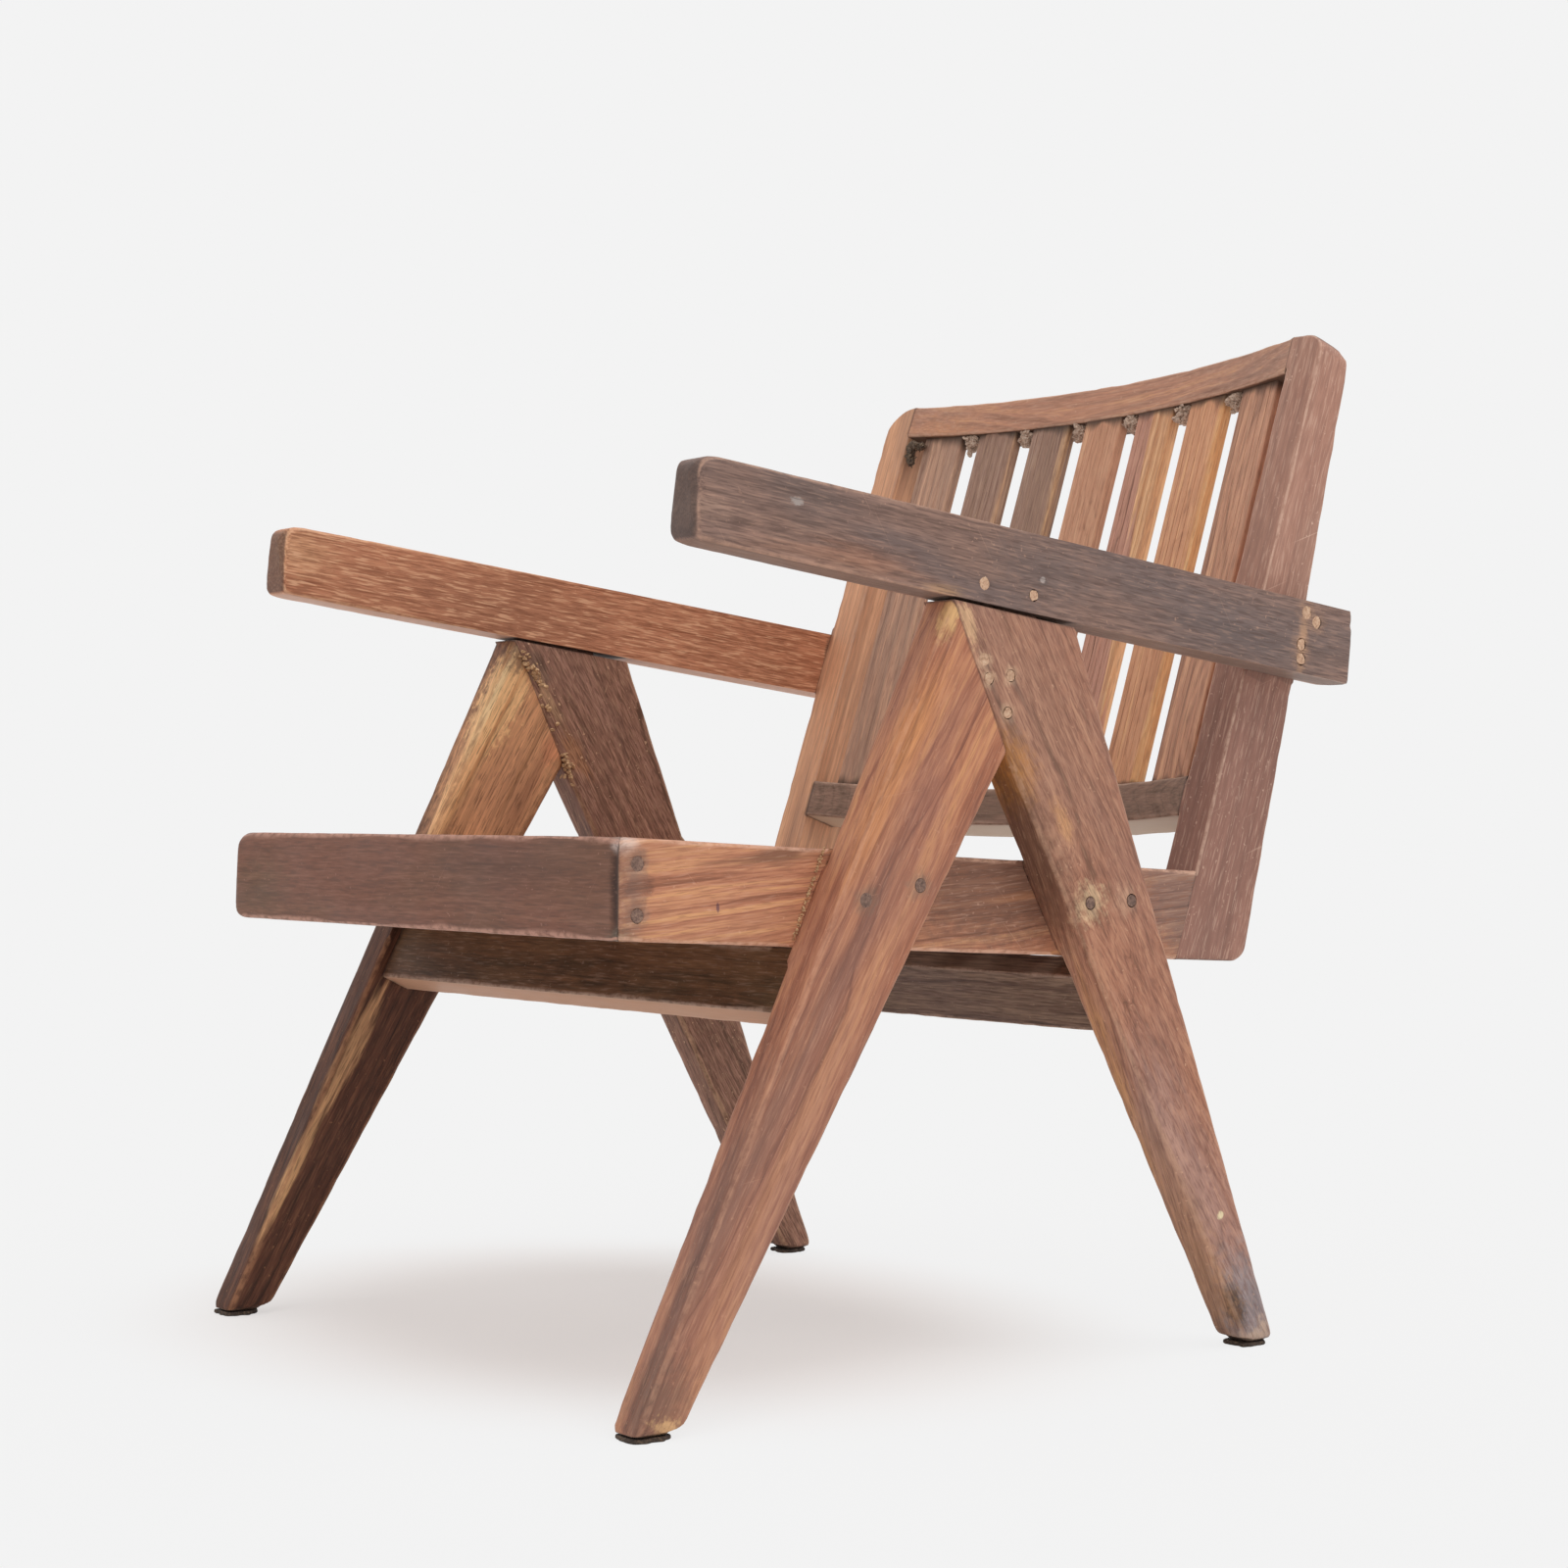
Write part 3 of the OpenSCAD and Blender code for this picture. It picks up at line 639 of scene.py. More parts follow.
@dataclass(frozen=True)
class RoundedEnd:
    """The end of a board, or a corner of two boards, with its edges taken off softly.

    Attributes:
        nodes: CAD nodes that make up the end.
        towards: Outward directions of the faces that end them.
        sides: Outward directions of the other faces.
        radius_mm: Radius of the edges.
        fades_mm: Length over which the sides' own edges get back to a sharper arris.
        stretch_mm: How far it stands out, from the first side to the opposite one.
        stretch_fades_mm: Length over which that sets in.
    """

    nodes: tuple[str, ...]
    towards: tuple[Direction, ...]
    sides: tuple[Direction, ...]
    radius_mm: float
    fades_mm: float = 38.0
    stretch_mm: tuple[float, ...] = (0.0, 0.0)
    stretch_fades_mm: float = 80.0

    # Distances from the end at which extra vertices lie, so that the curve is smooth
    STEPS_MM = (1.0, 2.3, 4.0, 6.2, 9.0, 12.5, 16.2, 17.8, 20.0, 23.0)

    def soften(self, points: np.ndarray, surroundings: "Surroundings") -> np.ndarray:
        """Moves points near the end onto its rounded shape.

        Args:
            points: The points, in metres.
            surroundings: All the pieces of the chair.

        Returns:
            The new points.
        """
        whole = np.concatenate([surroundings.parts[name][0] for name in self.nodes])
        outward = np.array([tuple(Vector(d).normalized()) for d in (*self.towards, *self.sides)])
        reach = whole @ outward.T
        close = (reach.max(0) - reach)[:, :len(self.towards)].max(1) < self.fades_mm * MM
        depth = (reach[close].max(0) - points @ outward.T) / MM
        away, below = depth[:, :len(self.towards)].max(1), depth[:, len(self.towards)]
        fade = np.clip(1 - away / self.fades_mm, 0, 1) ** 2
        radius = np.maximum(self.radius_mm * fade, 1e-3)[:, None]
        inset = np.maximum(radius - depth, 0)
        length = np.linalg.norm(inset, axis=1, keepdims=True)
        excess = np.maximum(length - radius, 0) / np.maximum(length, 1e-9)
        across = np.ptp(reach[:, len(self.towards)]) / MM
        stretch = np.interp(below / across, np.linspace(0, 1, len(self.stretch_mm)), self.stretch_mm)
        stretch *= np.clip(1 - away / self.stretch_fades_mm, 0, 1) ** 2
        return points + (stretch[:, None] * outward[0] - (inset * excess) @ outward) * MM


class Surroundings:
    """The CAD nodes as search trees, so that a board knows where it meets the other pieces."""

    REACH_MM = 30.0
    TOUCH_MM = 0.8

    def __init__(self, nodes: dict[str, bpy.types.Object]) -> None:
        """Reads every node's corners and triangles once.

        Args:
            nodes: The CAD nodes by name.
        """
        self.parts = {}
        for name, node in nodes.items():
            points = np.empty(len(node.data.vertices) * 3, np.float32)
            node.data.vertices.foreach_get("co", points)
            self.parts[name] = (points.reshape(-1, 3), [tuple(p.vertices) for p in node.data.polygons])

    def without(self, names: tuple[str, ...]) -> BVHTree:
        """Joins all the nodes but some into one search tree.

        Args:
            names: The nodes to leave out.

        Returns:
            The tree.
        """
        points, faces, start = [], [], 0
        for name, (own_points, own_faces) in self.parts.items():
            if name not in names:
                points.extend(map(tuple, own_points.tolist()))
                faces.extend(tuple(i + start for i in face) for face in own_faces)
                start += len(own_points)
        return BVHTree.FromPolygons(points, faces)

    @classmethod
    def distance_mm(cls, tree: BVHTree, point: Vector) -> float:
        """Measures from a point to the nearest other piece, up to the reach."""
        found = tree.find_nearest(point, cls.REACH_MM * MM)
        return cls.REACH_MM if found[3] is None else found[3] / MM


@dataclass
class Board:
    """One board of the frame, made from its CAD node.

    Attributes:
        node: The CAD node that it stands for.
        slot: Name of its material slot.
        finish: Its finish.
        arris_mm: Radius of its rubbed arrises.
        along_mm: Spacing of its vertices along the grain.
        cross_mm: Spacing of its vertices across the grain.
        wave_mm: How far the planed faces dip.
        wear_mm: How far the arrises are worn back in places.
        ends: Its rounded ends.
        sharp_deg: Least angle of an edge that counts as an arris.
    """

    node: str
    slot: str
    finish: OiledTeak
    arris_mm: float = 2.5
    along_mm: float = 9.0
    cross_mm: float = 6.0
    wave_mm: float = 0.35
    wear_mm: float = 0.9
    ends: tuple[RoundedEnd, ...] = ()
    sharp_deg: float = 30.0

    WAVE_LENGTH_MM = 70.0
    WEAR_LENGTH_MM = 16.0
    FLAT_RAD = 0.002
    BEVEL_SEGMENTS = 3
    SAMPLES_PER_EDGE = 5

    def exposed_arrises(self, mesh: bmesh.types.BMesh, others: BVHTree) -> list[bmesh.types.BMEdge]:
        """Finds the sharp outer edges that no other piece covers.

        Args:
            mesh: The board.
            others: The other pieces.

        Returns:
            The edges.
        """
        found = []
        for edge in mesh.edges:
            if len(edge.link_faces) == 2 and math.degrees(edge.calc_face_angle_signed(0.0)) > self.sharp_deg:
                middle = (edge.verts[0].co + edge.verts[1].co) / 2
                if Surroundings.distance_mm(others, middle) > Surroundings.TOUCH_MM:
                    found.append(edge)
        return found

    def slice(self, mesh: bmesh.types.BMesh, axis: Vector, pitch_mm: float,
              extra_mm: tuple[float, ...] = (), clear_mm: float = 0.0) -> list[bmesh.types.BMEdge]:
        """Cuts the board's faces into rows, so that they can carry wear.

        Args:
            mesh: The board.
            axis: Direction across the cuts.
            pitch_mm: Distance between the cuts.
            extra_mm: Distances from both ends at which there are more cuts.
            clear_mm: Least distance of the cuts from the vertices there are.

        Returns:
            The new edges.
        """
        reach = [v.co.dot(axis) for v in mesh.verts]
        low, high = min(reach), max(reach)
        count = max(1, round((high - low) / (pitch_mm * MM)))
        cuts = [low + (high - low) * i / count for i in range(1, count)]
        margin = max(extra_mm, default=0.0) * MM
        cuts = [c for c in cuts if low + margin < c < high - margin
                and min(abs(c - place) for place in reach) >= clear_mm * MM]
        cuts += [c for step in extra_mm for c in (low + step * MM, high - step * MM)]
        made = []
        for cut in sorted(cuts):
            done = bmesh.ops.bisect_plane(mesh, geom=mesh.verts[:] + mesh.edges[:] + mesh.faces[:],
                                          dist=1e-7, plane_co=axis * cut, plane_no=axis)
            made += [item for item in done["geom_cut"] if isinstance(item, bmesh.types.BMEdge)]
        return made

    def wear(self, mesh: bmesh.types.BMesh, arrises: KDTree, others: BVHTree, grain: Vector) -> None:
        """Stores how far each vertex lies from arrises and joints, and wears the surface back.

        Args:
            mesh: The board.
            arrises: Points along its arrises.
            others: The other pieces.
            grain: Direction of the grain.
        """
        arris = mesh.verts.layers.float.new("arris")
        joint = mesh.verts.layers.float.new("joint")
        end = mesh.verts.layers.float.new("end_grain")
        mesh.normal_update()
        moves = []
        for vert in mesh.verts:
            near = arrises.find(vert.co)[2]
            vert[arris] = max(0.0, (near or 1.0) / MM - 0.6 * self.arris_mm)
            vert[joint] = Surroundings.distance_mm(others, vert.co)
            # End grain shows where the normal is within 53 degrees of the grain, fully within 32
            vert[end] = min(1.0, max(0.0, (abs(vert.normal.dot(grain)) - 0.6) * 4))
            place = vert.co / MM + Vector((self.finish.seed * 37, 0, 0))
            dip = self.wave_mm * (0.5 + 0.5 * noise.noise(place / self.WAVE_LENGTH_MM))
            rub = max(0.0, noise.noise(place / self.WEAR_LENGTH_MM) + 0.1)
            dip += self.wear_mm * rub * max(0.0, 1 - vert[arris] / (0.8 * self.arris_mm))
            moves.append(vert.normal * (-dip * MM * min(1.0, vert[joint] / JOINT_FADE_MM)))
        for vert, move in zip(mesh.verts, moves):
            vert.co += move

    def in_rows(self, grain: Vector) -> bmesh.types.BMesh:
        """Takes the CAD node without the edges inside its flat faces, and cuts it across the grain.

        Args:
            grain: Direction of the grain.

        Returns:
            The mesh.
        """
        mesh = welded(self.node)
        bmesh.ops.dissolve_limit(mesh, angle_limit=math.radians(0.1), verts=mesh.verts, edges=mesh.edges)
        rows = set(self.slice(mesh, grain, self.along_mm, clear_mm=1.2 * self.arris_mm))
        flat = [e for e in mesh.edges if e not in rows and len(e.link_faces) == 2
                and e.calc_face_angle(0.0) < self.FLAT_RAD]
        bmesh.ops.dissolve_edges(mesh, edges=flat, use_verts=False, use_face_split=False)
        bmesh.ops.dissolve_verts(mesh, verts=[v for v in mesh.verts if len(v.link_edges) == 2])
        return mesh

    def build(self, surroundings: Surroundings) -> bpy.types.Object:
        """Builds the board, dresses it and lets it stand for its node.

        Args:
            surroundings: All the pieces of the chair.

        Returns:
            The board's object.
        """
        others = surroundings.without((self.node,))
        boards = surroundings.without((self.node, *FASTENINGS))
        grain = Vector(self.finish.grain).normalized()
        axes = grain_frame(grain)
        mesh = self.in_rows(grain)
        edges = self.exposed_arrises(mesh, others)
        count = self.SAMPLES_PER_EDGE
        samples = [a.co.lerp(b.co, i / count) for a, b in (e.verts for e in edges) for i in range(count + 1)]
        arrises = KDTree(len(samples))
        for i, point in enumerate(samples):
            arrises.insert(point, i)
        arrises.balance()
        bmesh.ops.bevel(mesh, geom=edges, offset=self.arris_mm * MM, offset_type="OFFSET",
                        segments=self.BEVEL_SEGMENTS, profile=0.5, affect="EDGES", clamp_overlap=False)
        steps = RoundedEnd.STEPS_MM if self.ends else ()
        self.slice(mesh, grain, math.inf, steps)
        for axis in (axes.col[1], axes.col[2]):
            self.slice(mesh, axis, self.cross_mm, steps[3:])
        self.wear(mesh, arrises, boards, grain)
        for end in self.ends:
            points = end.soften(np.array([tuple(v.co) for v in mesh.verts]), surroundings)
            for vert, point in zip(mesh.verts, points):
                vert.co = point
        return finish_piece(mesh, self.node + "_board", self.slot, (self.node,),
                            [TeakShader(self.finish).build()])


def finish_piece(mesh: bmesh.types.BMesh, name: str, slot: str, nodes: tuple[str, ...],
                 materials: list[bpy.types.Material]) -> bpy.types.Object:
    """Turns a mesh into a piece of the chair that stands for its CAD nodes.

    Args:
        mesh: The mesh, which is freed.
        name: The piece's name.
        slot: Name of its material slot.
        nodes: The CAD nodes that it stands for.
        materials: Its materials.

    Returns:
        The piece.
    """
    data = bpy.data.meshes.new(name)
    mesh.to_mesh(data)
    mesh.free()
    for material in materials:
        data.materials.append(material)
    data.shade_smooth()
    piece = bpy.data.objects.new(name, data)
    bpy.context.scene.collection.objects.link(piece)
    even = piece.modifiers.new("even_normals", "WEIGHTED_NORMAL")
    even.keep_sharp = True
    data.set_sharp_from_angle(angle=math.radians(SHARP_DEG))
    baked = bpy.data.meshes.new_from_object(piece.evaluated_get(bpy.context.evaluated_depsgraph_get()))
    piece.modifiers.clear()
    piece.data = baked
    bpy.data.meshes.remove(data)
    baked.name = name
    return register(piece, slot, nodes)


def register(piece: bpy.types.Object, slot: str, nodes: tuple[str, ...]) -> bpy.types.Object:
    """Hangs a piece on the chair's body empty and hides the CAD nodes that it stands for.

    Args:
        piece: The piece.
        slot: Not used.
        nodes: The CAD nodes that it stands for.

    Returns:
        The piece.
    """
    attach(piece, BODY)
    if nodes:
        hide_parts(*nodes)
    log.info("%s: %d faces", piece.name, len(piece.data.polygons))
    return piece


@dataclass
class Studio:
    """Camera, floor, soft light and white background.

    Attributes:
        camera_at: The camera's place, in metres.
        yaw_deg: How far it is turned left from looking along the seat.
        pitch_deg: How far it looks up.
        roll_deg: How far it leans.
        focal_px: Its focal length, in pixels of an image as wide as IMAGE_WIDTH_PX.
        white: Colour of floor and background.
        sky: Share of the light that comes from all around, the rest coming from above.
        sun_from: Direction from which the soft light from above comes.
        sun_width_deg: Its width, which softens the shadows.
        shadow: How strongly the paper of the floor shows shadows under the chair.
        shadow_at_m: Middle of the place where it shows them.
        shadow_reach_m: Half the width and half the length of that place.
        shadow_edge: Where it starts and where it is full, as shares of that.
        painted_bounce_tint: Colour of the paper in that place, a painted warm tint that stands for light
            bounced from the wood.
        glow: How much of the other paper's white is its own light, up to 1.
        floor_m: Side of the floor.
    """

    camera_at: Triple = (1.6289, -1.2821, 0.3670)
    yaw_deg: float = 52.268
    pitch_deg: float = 0.8587
    roll_deg: float = 0.3298
    focal_px: float = 2828.6
    white: str = "#f3f3f3"
    sky: float = 0.62
    sun_from: Triple = (0.35, 0.1, 1.0)
    sun_width_deg: float = 50.0
    shadow: float = 0.46
    shadow_at_m: Triple = (-0.08, -0.11, 0.0)
    shadow_reach_m: Triple = (0.31, 0.26, 1.0)
    shadow_edge: tuple[float, float] = (1.5, 0.6)
    painted_bounce_tint: str = "#f3edea"
    glow: float = 0.92
    floor_m: float = 60.0

    def add_camera(self) -> None:
        """Puts the camera where the photograph was taken from."""
        yaw, pitch, roll = (math.radians(a) for a in (self.yaw_deg, self.pitch_deg, self.roll_deg))
        ahead = Vector((-math.sin(yaw) * math.cos(pitch), math.cos(yaw) * math.cos(pitch),
                        math.sin(pitch)))
        level = Vector((math.cos(yaw), math.sin(yaw), 0.0))
        upright = level.cross(ahead)
        right = level * math.cos(roll) + upright * math.sin(roll)
        up = upright * math.cos(roll) - level * math.sin(roll)
        data = bpy.data.cameras.new("photo_camera")
        data.sensor_width = SENSOR_MM
        data.lens = self.focal_px * SENSOR_MM / IMAGE_WIDTH_PX
        camera = bpy.data.objects.new("photo_camera", data)
        turn = Matrix((right, up, -ahead)).transposed().to_4x4()
        camera.matrix_world = Matrix.Translation(self.camera_at) @ turn
        bpy.context.scene.collection.objects.link(camera)
        bpy.context.scene.camera = camera

    def add_light(self) -> None:
        """Lights the chair from all around and softly from above."""
        world = bpy.data.worlds.new("studio")
        bpy.context.scene.world = world
        sheet = sheet_of(world)
        seen = sheet.add("ShaderNodeLightPath", out="Is Camera Ray")
        mirrored = sheet.add("ShaderNodeLightPath", out="Is Glossy Ray")
        passed = sheet.add("ShaderNodeLightPath", out="Is Transmission Ray")
        direct = sheet.add(MATH, {0: seen, 1: mirrored}, operation="MAXIMUM")
        direct = sheet.add(MATH, {0: direct, 1: passed}, operation="MAXIMUM")
        sky = (self.sky, self.sky, self.sky, 1.0)
        colour = sheet.add(MIX, {SHARE: direct, UNDER: sky, OVER: linear(self.white)}, out=RESULT,
                           data_type="RGBA")
        light = sheet.add("ShaderNodeBackground", {"Color": colour})
        sheet.add("ShaderNodeOutputWorld", {"Surface": light})
        lamp = bpy.data.lights.new("soft_top_light", "SUN")
        # A level surface gets pi times the brightness that the sky leaves missing
        rise = Vector(self.sun_from).normalized().z
        lamp.energy = (1.0 - self.sky) * math.pi / rise
        lamp.angle = math.radians(self.sun_width_deg)
        top = bpy.data.objects.new("soft_top_light", lamp)
        top.rotation_euler = Vector(self.sun_from).to_track_quat("Z", "Y").to_euler()
        bpy.context.scene.collection.objects.link(top)

    def add_floor(self) -> None:
        """Lays a pale matt floor that runs to the horizon."""
        mesh = bmesh.new()
        bmesh.ops.create_grid(mesh, x_segments=1, y_segments=1, size=self.floor_m / 2)
        data = bpy.data.meshes.new("studio_floor")
        mesh.to_mesh(data)
        mesh.free()
        paper = bpy.data.materials.new("matt_studio_paper")
        sheet = sheet_of(paper)
        place = sheet.add("ShaderNodeTexCoord", out="Object")
        place = sheet.add(MAPPING, {"Vector": place, "Location": self.shadow_at_m,
                                    "Scale": self.shadow_reach_m}, vector_type="TEXTURE")
        away = sheet.add(VECTOR, {0: place}, out="Value", operation="LENGTH")
        outer, inner = self.shadow_edge
        under = sheet.add(RANGE, {0: away, LOW: outer, HIGH: inner}, interpolation_type="SMOOTHSTEP")
        # Under the chair the paper gets a painted warm tint for light bounced from the wood
        white = sheet.add(MIX, {SHARE: under, UNDER: linear(self.white), OVER: linear(self.painted_bounce_tint)},
                          out=RESULT, data_type="RGBA")
        matt = sheet.add("ShaderNodeBsdfDiffuse", {"Color": white})
        glow = sheet.add("ShaderNodeEmission", {"Color": white})
        seen = sheet.add("ShaderNodeLightPath", out="Is Camera Ray")
        lit = sheet.add(RANGE, {0: under, FROM: self.glow, TO: 1.0 - self.shadow})
        share = sheet.add(MATH, {0: seen, 1: lit}, operation="MULTIPLY")
        paper_look = sheet.add("ShaderNodeMixShader", {0: share, 1: matt, 2: glow})
        sheet.add("ShaderNodeOutputMaterial", {"Surface": paper_look})
        data.materials.append(paper)
        floor = bpy.data.objects.new("studio_floor", data)
        bpy.context.scene.collection.objects.link(floor)

    def build(self) -> None:
        """Sets up the whole studio."""
        bpy.context.scene.view_settings.view_transform = "Standard"
        self.add_camera()
        self.add_light()
        self.add_floor()


class Layout:
    """A Geometry Nodes tree that lays a shape out on points, one for each CAD solid."""

    SLAT_ROWS = 44
    SLAT_CUTS = 5
    ARRIS_POINTS = 3
    PLUG_RIM = 28
    PLUG_RINGS = 4
    PLUG_DISH_MM = 0.2
    LUMP_LEVELS = 3
    FRAY_WIDTH_MM = 4.0
    SEED = 7

    def __init__(self, name: str, sizes: dict[str, float]) -> None:
        """Starts the tree.

        Args:
            name: The tree's name.
            sizes: Its named sizes, in metres, with their values.
        """
        self.tree = bpy.data.node_groups.new(name, "GeometryNodeTree")
        self.sheet = NodeSheet(self.tree)
        face = self.tree.interface
        face.new_socket("Geometry", in_out="OUTPUT", socket_type="NodeSocketGeometry")
        face.new_socket("Points", in_out="INPUT", socket_type="NodeSocketGeometry")
        self.sockets = {size: face.new_socket(size, in_out="INPUT", socket_type="NodeSocketFloat")
                        for size in sizes}
        self.sockets["Material"] = face.new_socket("Material", in_out="INPUT",
                                                   socket_type="NodeSocketMaterial")
        self.sizes = sizes

    def given(self, name: str) -> Socket:
        """Reads one of the tree's inputs."""
        return self.sheet.add("NodeGroupInput", out=name)

    def slat(self) -> Socket:
        """Draws a slat with rounded arrises, centred, and long along Z.

        Returns:
            Its mesh, with each point's distance from the arrises in the attribute arris.
        """
        add = self.sheet.add
        section = add("GeometryNodeCurvePrimitiveQuadrilateral",
                      {"Width": self.given("Width"), "Height": self.given("Thickness")})
        section = add("GeometryNodeSubdivideCurve", {"Curve": section, "Cuts": self.SLAT_CUTS})
        section = add("GeometryNodeFilletCurve", {"Curve": section, "Count": self.ARRIS_POINTS,
                                                  "Radius": self.given("Arris")}, mode="POLY")
        half = add(MATH, {0: self.given("Length"), 1: 0.5}, operation="MULTIPLY")
        start = add("ShaderNodeCombineXYZ", {"Z": add(MATH, {0: half, 1: -1.0}, operation="MULTIPLY")})
        path = add("GeometryNodeCurvePrimitiveLine",
                   {"Start": start, "End": add("ShaderNodeCombineXYZ", {"Z": half})})
        path = add("GeometryNodeResampleCurve", {"Curve": path, "Count": self.SLAT_ROWS})
        slat = add("GeometryNodeCurveToMesh", {"Curve": path, "Profile Curve": section, "Fill Caps": True})
        place = add("GeometryNodeInputPosition")
        size = add("ShaderNodeCombineXYZ", {"X": self.given("Width"), "Y": self.given("Thickness")})
        inside = add(VECTOR, {0: add(VECTOR, {0: place}, operation="ABSOLUTE"), 1: (-1.0, -1.0, 0.0)},
                     operation="MULTIPLY")
        inside = add(VECTOR, {0: size, 1: (0.5, 0.5, 0.0), 2: inside}, operation="MULTIPLY_ADD")
        away = add(VECTOR, {0: inside}, out="Value", operation="LENGTH")
        return add("GeometryNodeStoreNamedAttribute",
                   {"Geometry": slat, "Name": "arris",
                    "Value": add(MATH, {0: away, 1: 1 / MM}, operation="MULTIPLY")},
                   data_type="FLOAT", domain="POINT")

    def plug(self) -> Socket:
        """Draws a round plug, long along Z, whose outer end is a little hollow and rough.

        Returns:
            Its mesh, with its outer end at the origin.
        """
        add = self.sheet.add
        body = add("GeometryNodeMeshCylinder",
                   {"Vertices": self.PLUG_RIM, "Side Segments": 1, "Fill Segments": self.PLUG_RINGS,
                    "Radius": self.given("Radius"), "Depth": self.given("Depth")})
        down = add("ShaderNodeCombineXYZ", {"Z": add(MATH, {0: self.given("Depth"), 1: -0.5},
                                                   operation="MULTIPLY")})
        place = add("GeometryNodeInputPosition")
        # Its end is uneven over about 2.4 mm
        rough = add(NOISE, {"Vector": place, "Scale": 420.0, "Detail": 1.0})
        dish = add(RANGE, {0: rough, LOW: 0.3, HIGH: 0.7, FROM: 0.0, TO: -self.PLUG_DISH_MM * MM})
        height = add("ShaderNodeSeparateXYZ", {"Vector": place}, out="Z")
        top = add("FunctionNodeCompare", {0: height, 1: 0.0}, data_type="FLOAT",
                  operation="GREATER_THAN")
        body = add("GeometryNodeSetPosition", {"Geometry": body, "Selection": top,
                                               "Offset": add("ShaderNodeCombineXYZ", {"Z": dish})})
        return add("GeometryNodeTransform", {"Geometry": body, "Translation": down})

    def lump(self) -> Socket:
        """Draws a crumb, a knobbly lump about the origin.

        Returns:
            Its mesh.
        """
        add = self.sheet.add
        lump = add("GeometryNodeMeshIcoSphere",
                   {"Radius": self.given("Radius"), "Subdivisions": self.LUMP_LEVELS})
        place = add("GeometryNodeInputPosition")
        # Its knobs are about half as wide as itself
        grain = add(MATH, {0: 1.1, 1: self.given("Radius")}, operation="DIVIDE")
        knobs = add(NOISE, {"Vector": place, "Scale": grain, "Detail": 2.0})
        swell = add(RANGE, {0: knobs, LOW: 0.3, HIGH: 0.7, FROM: -0.6, TO: 0.3})
        offset = add(VECTOR, {0: place, "Scale": swell}, operation="SCALE")
        return add("GeometryNodeSetPosition", {"Geometry": lump, "Offset": offset})

    def lay_out(self, shape: Socket, places: list[Matrix], name: str,
                material: bpy.types.Material, scatter: float = 0.0, fray_mm: float = 0.0) -> bpy.types.Mesh:
        """Puts the shape on every place and turns the result into a plain mesh.

        Args:
            shape: The shape to repeat.
            places: Where it goes and how it is turned.
            name: Name of the mesh.
            material: Its material.
            scatter: How much the copies differ in size, as a share.
            fray_mm: How far their outlines wander across the chair's sides.

        Returns:
            The mesh, whose attribute row holds the number of the copy.
        """
        add = self.sheet.add
        turn = add("GeometryNodeInputNamedAttribute", {"Name": "turn"}, data_type="FLOAT_VECTOR")
        # The sockets 2 and 3 are the least and the greatest number, and 1 is the number drawn
        grow = add("FunctionNodeRandomValue", {2: 1.0 - scatter, 3: 1.0, "Seed": self.SEED}, out=1,
                   data_type="FLOAT")
        copies = add("GeometryNodeInstanceOnPoints",
                     {"Points": self.given("Points"), "Instance": shape,
                      "Rotation": add("FunctionNodeEulerToRotation", {0: turn}),
                      "Scale": add("ShaderNodeCombineXYZ", {"X": grow, "Y": grow, "Z": 1.0})})
        solid = add("GeometryNodeRealizeInstances", {"Geometry": copies})
        if fray_mm:
            uneven = add(NOISE, {"Vector": add("GeometryNodeInputPosition"),
                                 "Scale": 1 / (self.FRAY_WIDTH_MM * MM)}, out="Color")
            offset = add(VECTOR, {0: uneven, 1: (0.0, 2 * fray_mm * MM, 2 * fray_mm * MM),
                                  2: (0.0, -fray_mm * MM, -fray_mm * MM)}, operation="MULTIPLY_ADD")
            solid = add("GeometryNodeSetPosition", {"Geometry": solid, "Offset": offset})
        solid = add("GeometryNodeSetMaterial", {"Geometry": solid, "Material": self.given("Material")})
        add("NodeGroupOutput", {0: solid})

        data = bpy.data.meshes.new(name)
        data.from_pydata([m.translation for m in places], [], [])
        for attribute, kind, values in (
                ("turn", "FLOAT_VECTOR", [c for m in places for c in m.to_euler("XYZ")]),
                ("row", "INT", range(len(places)))):
            layer = data.attributes.new(attribute, kind, "POINT")
            layer.data.foreach_set("vector" if kind == "FLOAT_VECTOR" else "value", list(values))
        holder = bpy.data.objects.new(name, data)
        bpy.context.scene.collection.objects.link(holder)
        modifier = holder.modifiers.new("layout", "NODES")
        modifier.node_group = self.tree
        for size, value in self.sizes.items():
            modifier[self.sockets[size].identifier] = value
        modifier[self.sockets["Material"].identifier] = material
        graph = bpy.context.evaluated_depsgraph_get()
        result = bpy.data.meshes.new_from_object(holder.evaluated_get(graph))
        bpy.data.objects.remove(holder)
        bpy.data.meshes.remove(data)
        return result


def solids_of(node: str) -> list[np.ndarray]:
    """Splits a CAD node into its solids.

    Args:
        node: The node.

    Returns:
        The corners of each solid, in metres.
    """
    mesh = welded(node)
    left, solids = set(mesh.verts), []
    for seed in mesh.verts:
        if seed in left:
            left.discard(seed)
            members, queue = [], [seed]
            while queue:
                vert = queue.pop()
                members.append(tuple(vert.co))
                for edge in vert.link_edges:
                    other = edge.other_vert(vert)
                    if other in left:
                        left.discard(other)
                        queue.append(other)
            solids.append(np.array(members))
    mesh.free()
    return solids


